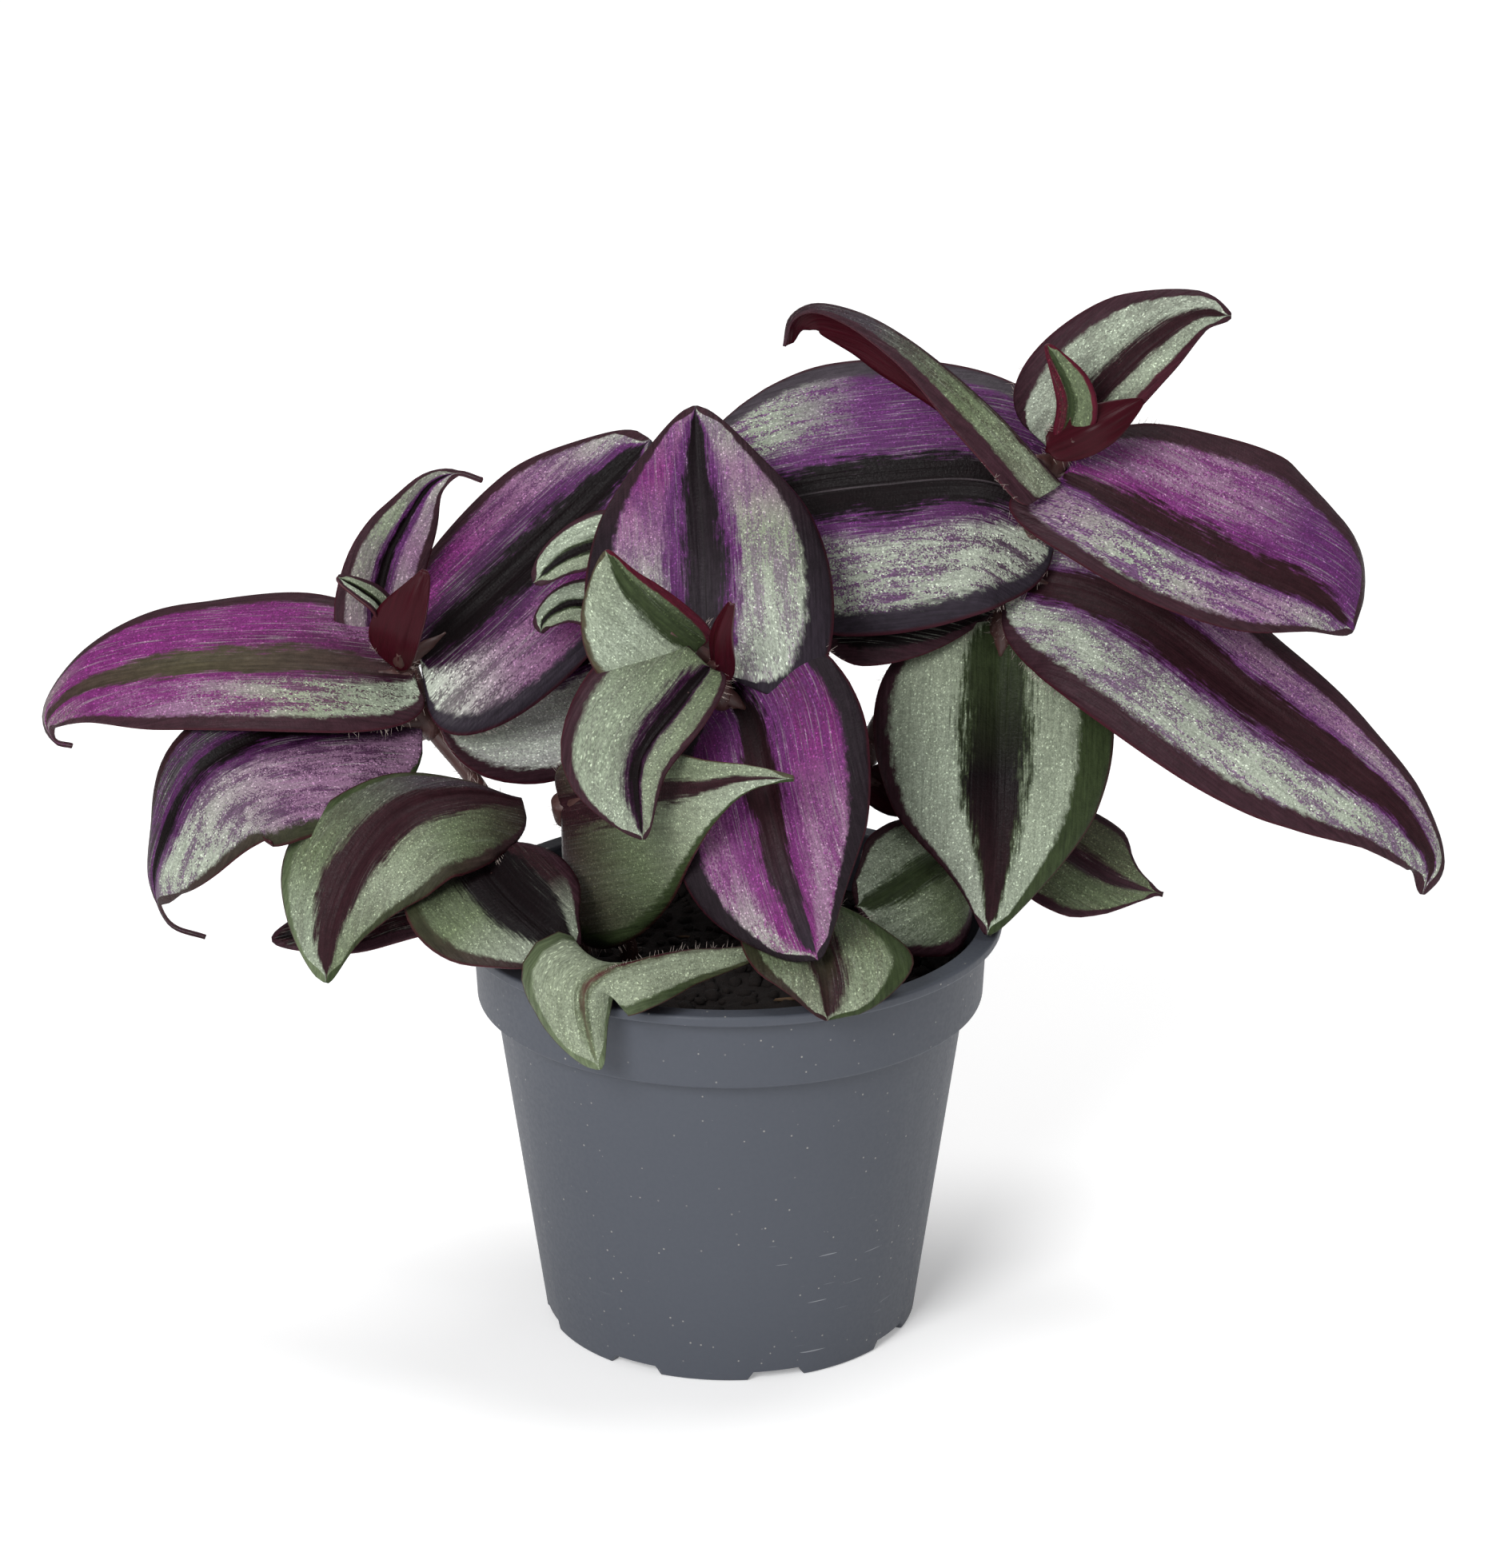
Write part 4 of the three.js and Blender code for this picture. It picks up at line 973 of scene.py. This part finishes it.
# broad leaf to the right
stem.leaf(
    midrib=[
        [53.5, -3, 147.5], [61.5, -6, 144.5], [72, -8, 139], [84, -9, 133.5], [94.5, -8, 128],
        [100.5, -6, 122],
    ],
    faces=[[0.1, -0.75, 0.65]], half=[21.8, 12.8], fold=[22, 10], arch=45, widest=[0.64, 0.32],
    lobe=[4, 13], slim=[0.74, 0.95],
    left="violet lilac lilac violet violet", right="lilac mist lilac silver",
    inner=("magenta violet", "violet"), centre="plum", bands=((0.14, 0.26, 0.76), (0.2, 0.3, 0.82)),
    patchy=0.9,
)
# longest leaf, out to the lower right
stem.leaf(
    midrib=[
        [46, 6, 127], [58, 2, 126], [69.5, -3, 121.5], [83.5, -9, 112], [98, -13, 102.5],
        [108, -15, 94.5], [113.5, -15, 85.5], [112.5, -14, 79.5],
    ],
    faces=[[0.2, -0.75, 0.65]], half=[13, 19.2], fold=[18, 12], arch=45, widest=0.33, lobe=3,
    left="mist lilac lilac mist", right="silver silver mist", centre="plum",
    bands=((0.26, 0.32, 0.7), (0.24, 0.32, 0.78)), patchy=0.8,
)
# sage leaf hanging straight down
stem.leaf(
    midrib=[[44.5, 9, 118.7], [44, 2, 108], [43.5, -6, 96.6], [43, -11, 83.5], [42, -13, 72]],
    faces=[[0, -0.95, 0.3]], half=[19, 20.5], fold=[20, 15], arch=45, widest=[0.36, 0.32],
    lobe=[2, -2], sharp=[0.3, 0.55],
    left="sage mist", right="sage mist silver", inner="moss", centre="moss dark plum",
    margins=("moss", "brown"), bands=((0.22, 0.28, 0.68), (0.26, 0.32, 0.86)), patchy=0.15,
)
stem.done()

# ---------------- back stem, left
# A soft, hairy stem like the others, rooted in the peat behind the centre stem. Two narrow leaves
# curl forward from it on the left, and three plain ones are held out to the back by their sheaths.

stem = Stem("stem_back_left", [[4, 18, 64], [2, 16, 80], [-3, 13, 100], [-6, 12, 122]])
# narrow leaf whose tip curls forward on the left
stem.leaf(
    midrib=[
        [-6, 10, 121], [-11, 2, 131.5], [-19.5, -2, 135.5], [-26.5, -3, 133.5], [-31.5, -4, 129.5],
    ],
    faces=[[-0.1, -0.8, 0.6]], half=[4, 6], fold=[10, 10], widest=0.55,
    left="sage", right="mist", inner="moss", bands=(0.16, 0.24, 0.84), patchy=0.3,
)
# a second one, just below it
stem.leaf(
    midrib=[[-6, 10, 116], [-18.5, -2, 124.5], [-26, -3, 125.5], [-30, -4, 123], [-30.5, -4, 121]],
    faces=[[-0.1, -0.8, 0.6]], half=[4, 5], fold=[10, 10], widest=0.5,
    left="sage", right="mist", inner="moss", bands=(0.16, 0.24, 0.84), patchy=0.3,
)
# leaf to the back left
stem.leaf(
    midrib=[[-8, 14, 119], [-24, 32, 121], [-42, 45, 106]],
    faces=[[0, 0.1, 1], [-0.3, 0.3, 0.9]], half=12, lobe=3,
)
# leaf straight to the back
stem.leaf(
    midrib=[[-4, 14, 116], [2, 32, 121], [6, 48, 108]],
    faces=[[0, 0, 1], [0, 0.5, 0.9]], half=13, lobe=3,
)
# leaf to the back right
stem.leaf(
    midrib=[[-4, 13, 110], [16, 30, 112], [34, 45, 103]],
    faces=[[0, 0.1, 1], [0.3, 0.4, 0.9]], half=11, lobe=3,
)
stem.done()

# ---------------- back stem, right
# A soft stem rooted at the back of the peat, which leans out to the right under the tallest stem's
# leaves. A dark blade shows in front of it, and one small leaf shows its wine-red underside.

stem = Stem("stem_back_right", [
    [16, 20, 64], [20, 19, 80], [25, 18, 98], [36, 16, 110], [44, 14, 119],
])
# dark leaf just under the very broad one; the slate and silver of its right half paint a sheen
stem.leaf(
    midrib=[[45, 13, 119.5], [33, 8, 124], [20, 9, 125], [8, 12, 123.4]],
    faces=[[0, -0.7, 0.7]], half=[14, 12], fold=[15, 10], widest=[0.62, 0.45], slim=[2, 1.15],
    left="dark", right="slate silver", inner="dark", bands=(0.2, 0.4, 0.8),
)
# small leaf seen from its red underside
stem.leaf(
    midrib=[[22.5, 17, 88], [25, 15, 87.5], [28.5, 14, 85.5], [32, 14, 83]],
    faces=[[0, 0.9, -0.3]], half=3.4, fold=[10, 10], arch=30,
    left="wine",
)
# leaf to the back right
stem.leaf(
    midrib=[[44, 16, 116], [68, 31, 114], [88, 43, 98]],
    faces=[[0, 0.1, 1], [0.3, 0.3, 0.9]], half=12, lobe=3,
)
# leaf straight to the back
stem.leaf(
    midrib=[[44, 16, 117], [50, 34, 122], [53, 49, 108]],
    faces=[[0, 0, 1], [0, 0.5, 0.9]], half=12, lobe=3,
)
# leaf to the back right, from a lower joint
stem.leaf(
    midrib=[[24, 20, 92], [42, 36, 96], [58, 48, 84]],
    faces=[[0, 0.1, 1], [0.3, 0.4, 0.9]], half=10, lobe=3,
)
stem.done()

# ---------------- low stem, centre
# A short young shoot, rooted in the peat left of the middle. Its one thin leaf is dull green,
# because it grew in the shade of the others, and reaches forward across the pot.

stem = Stem("stem_low_centre", [[-17, 2, 64], [-23, -2, 78], [-26.5, -9, 92]])
# dull green leaf across the middle, its pale tip to the right
stem.leaf(
    midrib=[[-27.5, -11, 94.5], [-15.5, -25, 102], [-4.5, -42, 109], [3, -47, 112], [10, -49.5, 113]],
    faces=[[0.2, -0.95, 0.3]], half=[7, 25.5], widest=[0.25, 0.14], lobe=[0, 14], slim=[1.15, 1.9],
    left="plum leaf sage", right="plum leaf sage mist", inner="plum", centre="plum",
    margins=("olive", "moss"), bands=((0.1, 0.2, 0.93), (0.1, 0.2, 0.88)), patchy=0.2,
)
stem.done()

# ---------------- low stem, left
# A short hairy shoot, rooted near the rim. Its dark leaf rests over the pot's edge, and a smaller
# one below it points to the left. Both close round the stalk with a sheath.

stem = Stem("stem_low_left", [[-29, -9, 64], [-34, -11, 72], [-38, -12, 77.5], [-39.5, -12.5, 81.5]])
# dark leaf over the rim
stem.leaf(
    midrib=[[-41, -12, 85.9], [-36, -21.5, 83.4], [-29.5, -29.5, 80.4], [-24.5, -32.5, 76.9]],
    faces=[[0.1, -0.6, 0.8]], half=[11, 16.5], fold=[20, 15], widest=0.4, lobe=2, slim=1,
    left="plum plum mist", right="dark leaf silver", inner="dark", margins=("brown", "moss brown"),
    bands=((0.3, 0.5, 0.8), (0.26, 0.4, 0.84)), patchy=0.2,
)
# small dark leaf under the sage one
stem.leaf(
    midrib=[[-38, -14, 80], [-54, -10, 77], [-64.5, -10, 73], [-75, -10, 70]],
    faces=[[0, -0.6, 0.8]], half=7, fold=[10, 10], arch=30, widest=0.45,
    left="plum", inner="dark",
)
stem.done()

# ---------------- front stem
# A short hairy shoot, rooted at the front of the peat. One of its leaves lies over the rim, and
# the other, a pale green one, is bent down over the pot's collar.

stem = Stem("stem_front", [[12, -14, 64], [13, -20, 75], [12, -27, 85]])
# leaf over the front rim
stem.leaf(
    midrib=[[12.5, -28, 84.5], [13.5, -36, 80.5], [15, -43, 76.5], [15.5, -46, 71]],
    faces=[[0.1, -0.6, 0.8]], half=[15, 11.5], fold=[20, 15], widest=[0.62, 0.34],
    left="moss leaf sage", right="leaf leaf sage", inner="plum", centre="moss plum",
    margins=("moss", "moss plum"), bands=((0.14, 0.26, 0.74), (0.1, 0.2, 0.8)), patchy=0.4,
)
# pale green leaf bent over the rim to the left
stem.leaf(
    midrib=[
        [12.5, -24, 79.5], [4, -36, 80], [-8, -41, 81], [-15.5, -44.5, 80.5], [-20, -46.5, 79.5],
        [-22.5, -47, 77], [-22.5, -46.5, 71], [-20.5, -46, 62.5],
    ],
    faces=[[0, -0.2, 1], [0, -0.2, 1], [0, -0.2, 1], [0, -0.1, 1], [0, -0.97, 0.25], [0, -1, 0.1]],
    half=[8.5, 17], fold=[-70, -5], arch=35, widest=[0.72, 0.76], slim=2.6, sharp=0.6,
    left="leaf sage sage", inner="brown leaf", centre="wine brown wine leaf",
    margins="olive moss leaf", bands=(0.04, 0.12, 0.78), patchy=0.3, fringes=((0, 0.1, 0.72),),
)
stem.done()

# ---------------- low stem, right
# A short hairy shoot, rooted at the right of the peat. Its one soft leaf closes round the end of
# it and stands inside the rim.

stem = Stem("stem_low_right", [[30, 0, 64], [34, 6, 73], [39, 6, 81]])
# green and silver leaf inside the rim, tip hooked
stem.leaf(
    midrib=[[39, 4, 82], [31.5, -8, 82], [25.5, -14, 80], [20.5, -18, 79]],
    faces=[[-0.1, -0.95, 0.3]], half=[14.5, 9], fold=[20, 15], arch=45, widest=0.58, lobe=-3,
    left="leaf leaf mist", right="leaf mist", inner="moss", centre="moss", margins=("brown", "plum"),
    bands=(0.1, 0.22, 0.84), patchy=0.4,
)
stem.done()

# ---------------- far right stem
# A short hairy shoot, rooted behind the right stem, which grows out low over the rim. A small olive
# leaf shows beside the pot, behind the sage one, and the other hangs over the back rim.

stem = Stem("stem_far_right", [[28, 16, 64], [31, 16, 74], [38, 15, 82], [47, 14, 86]])
# small olive leaf low on the right
stem.leaf(
    midrib=[[47.5, 14, 82.5], [56, 10, 78], [64.5, 7, 73.5], [72, 6, 71.5]],
    faces=[[0.1, -0.7, 0.7]], half=[9, 10.5], fold=[15, 15], widest=[0.5, 0.42], sharp=0.65,
    tail=0.04,
    left="olive leaf", right="olive leaf leaf", inner="brown", centre="brown",
    bands=(0.08, 0.2, 0.84), patchy=0.3,
)
# low leaf over the back rim
stem.leaf(
    midrib=[[42, 16, 77], [46, 33, 84], [52, 46, 72]],
    faces=[[0, 0, 1], [0.2, 0.6, 0.8]], half=9, lobe=3,
)
stem.done()

# ---------------- rear stem
# A short hairy shoot, rooted at the back of the peat, with two soft leaves that hang over the rim
# behind. With them the plant is whole from all sides.

stem = Stem("stem_rear", [[-14, 26, 64], [-14, 25, 74], [-14, 22, 84]])
# leaf to the back left, low
stem.leaf(
    midrib=[[-14, 23, 82], [-34, 34, 94], [-58, 45, 84]],
    faces=[[0, 0.1, 1], [-0.3, 0.3, 0.9]], half=11, lobe=3,
)
# leaf straight to the back, low
stem.leaf(
    midrib=[[-14, 26, 76], [-10, 37, 88], [-10, 49, 76]],
    faces=[[0, -0.2, 1], [0, 0.6, 0.8]], half=11, lobe=3,
)
stem.done()

# ---------------- the studio
# Not part of the object: a pale floor, soft light from all round with a large lamp in front, and
# the camera at the angle of the photo.

FLOOR_HALF = 3
LIGHT_FROM_ALL_ROUND = 0.34

bm = bmesh.new()
bmesh.ops.create_grid(bm, x_segments=1, y_segments=1, size=FLOOR_HALF)
floor_mesh = bpy.data.meshes.new("floor")
bm.to_mesh(floor_mesh)
bm.free()
pale_floor = Finish("pale floor").surface(
    Base_Color=(0.93, 0.93, 0.93, 1), Roughness=0.9,
    Emission_Color=(1, 1, 1, 1), Emission_Strength=0.26,
)
floor_mesh.materials.append(pale_floor)
floor = bpy.data.objects.new("floor", floor_mesh)
bpy.context.scene.collection.objects.link(floor)

world = bpy.data.worlds.new("studio")
world.use_nodes = True
background = world.node_tree.nodes["Background"]
background.inputs["Color"].default_value = (1, 1, 1, 1)
background.inputs["Strength"].default_value = LIGHT_FROM_ALL_ROUND
bpy.context.scene.world = world


def area_lamp(name, place, aim, size, power):
    """A round lamp that points at a spot: metres and watts."""
    data = bpy.data.lights.new(name, "AREA")
    data.shape = "DISK"
    data.size = size
    data.energy = power
    lamp = bpy.data.objects.new(name, data)
    lamp.location = place
    lamp.rotation_euler = (Vector(aim) - Vector(place)).to_track_quat("-Z", "Y").to_euler()
    bpy.context.scene.collection.objects.link(lamp)


area_lamp("key lamp", place=(-0.8, -1.6, 1.2), aim=(0, 0.1, 0.08), size=1.0, power=34)
area_lamp("top lamp", place=(0.3, 0.3, 2.2), aim=(0, 0.2, 0.1), size=1.2, power=25)

CAMERA_DISTANCE = 0.9
CAMERA_RISE = math.radians(20.7)
CAMERA_AIM = Vector((0.0033, 0, 0.0934))
CAMERA_LENS = 126.1
SENSOR_WIDTH = 36

camera_data = bpy.data.cameras.new("camera")
camera_data.lens = CAMERA_LENS
camera_data.sensor_width = SENSOR_WIDTH
camera = bpy.data.objects.new("camera", camera_data)
away = Vector((0, -math.cos(CAMERA_RISE), math.sin(CAMERA_RISE)))
camera.location = CAMERA_AIM + away * CAMERA_DISTANCE
camera.rotation_euler = (math.pi / 2 - CAMERA_RISE, 0, 0)
bpy.context.scene.collection.objects.link(camera)
bpy.context.scene.camera = camera
bpy.context.scene.view_settings.view_transform = "Standard"
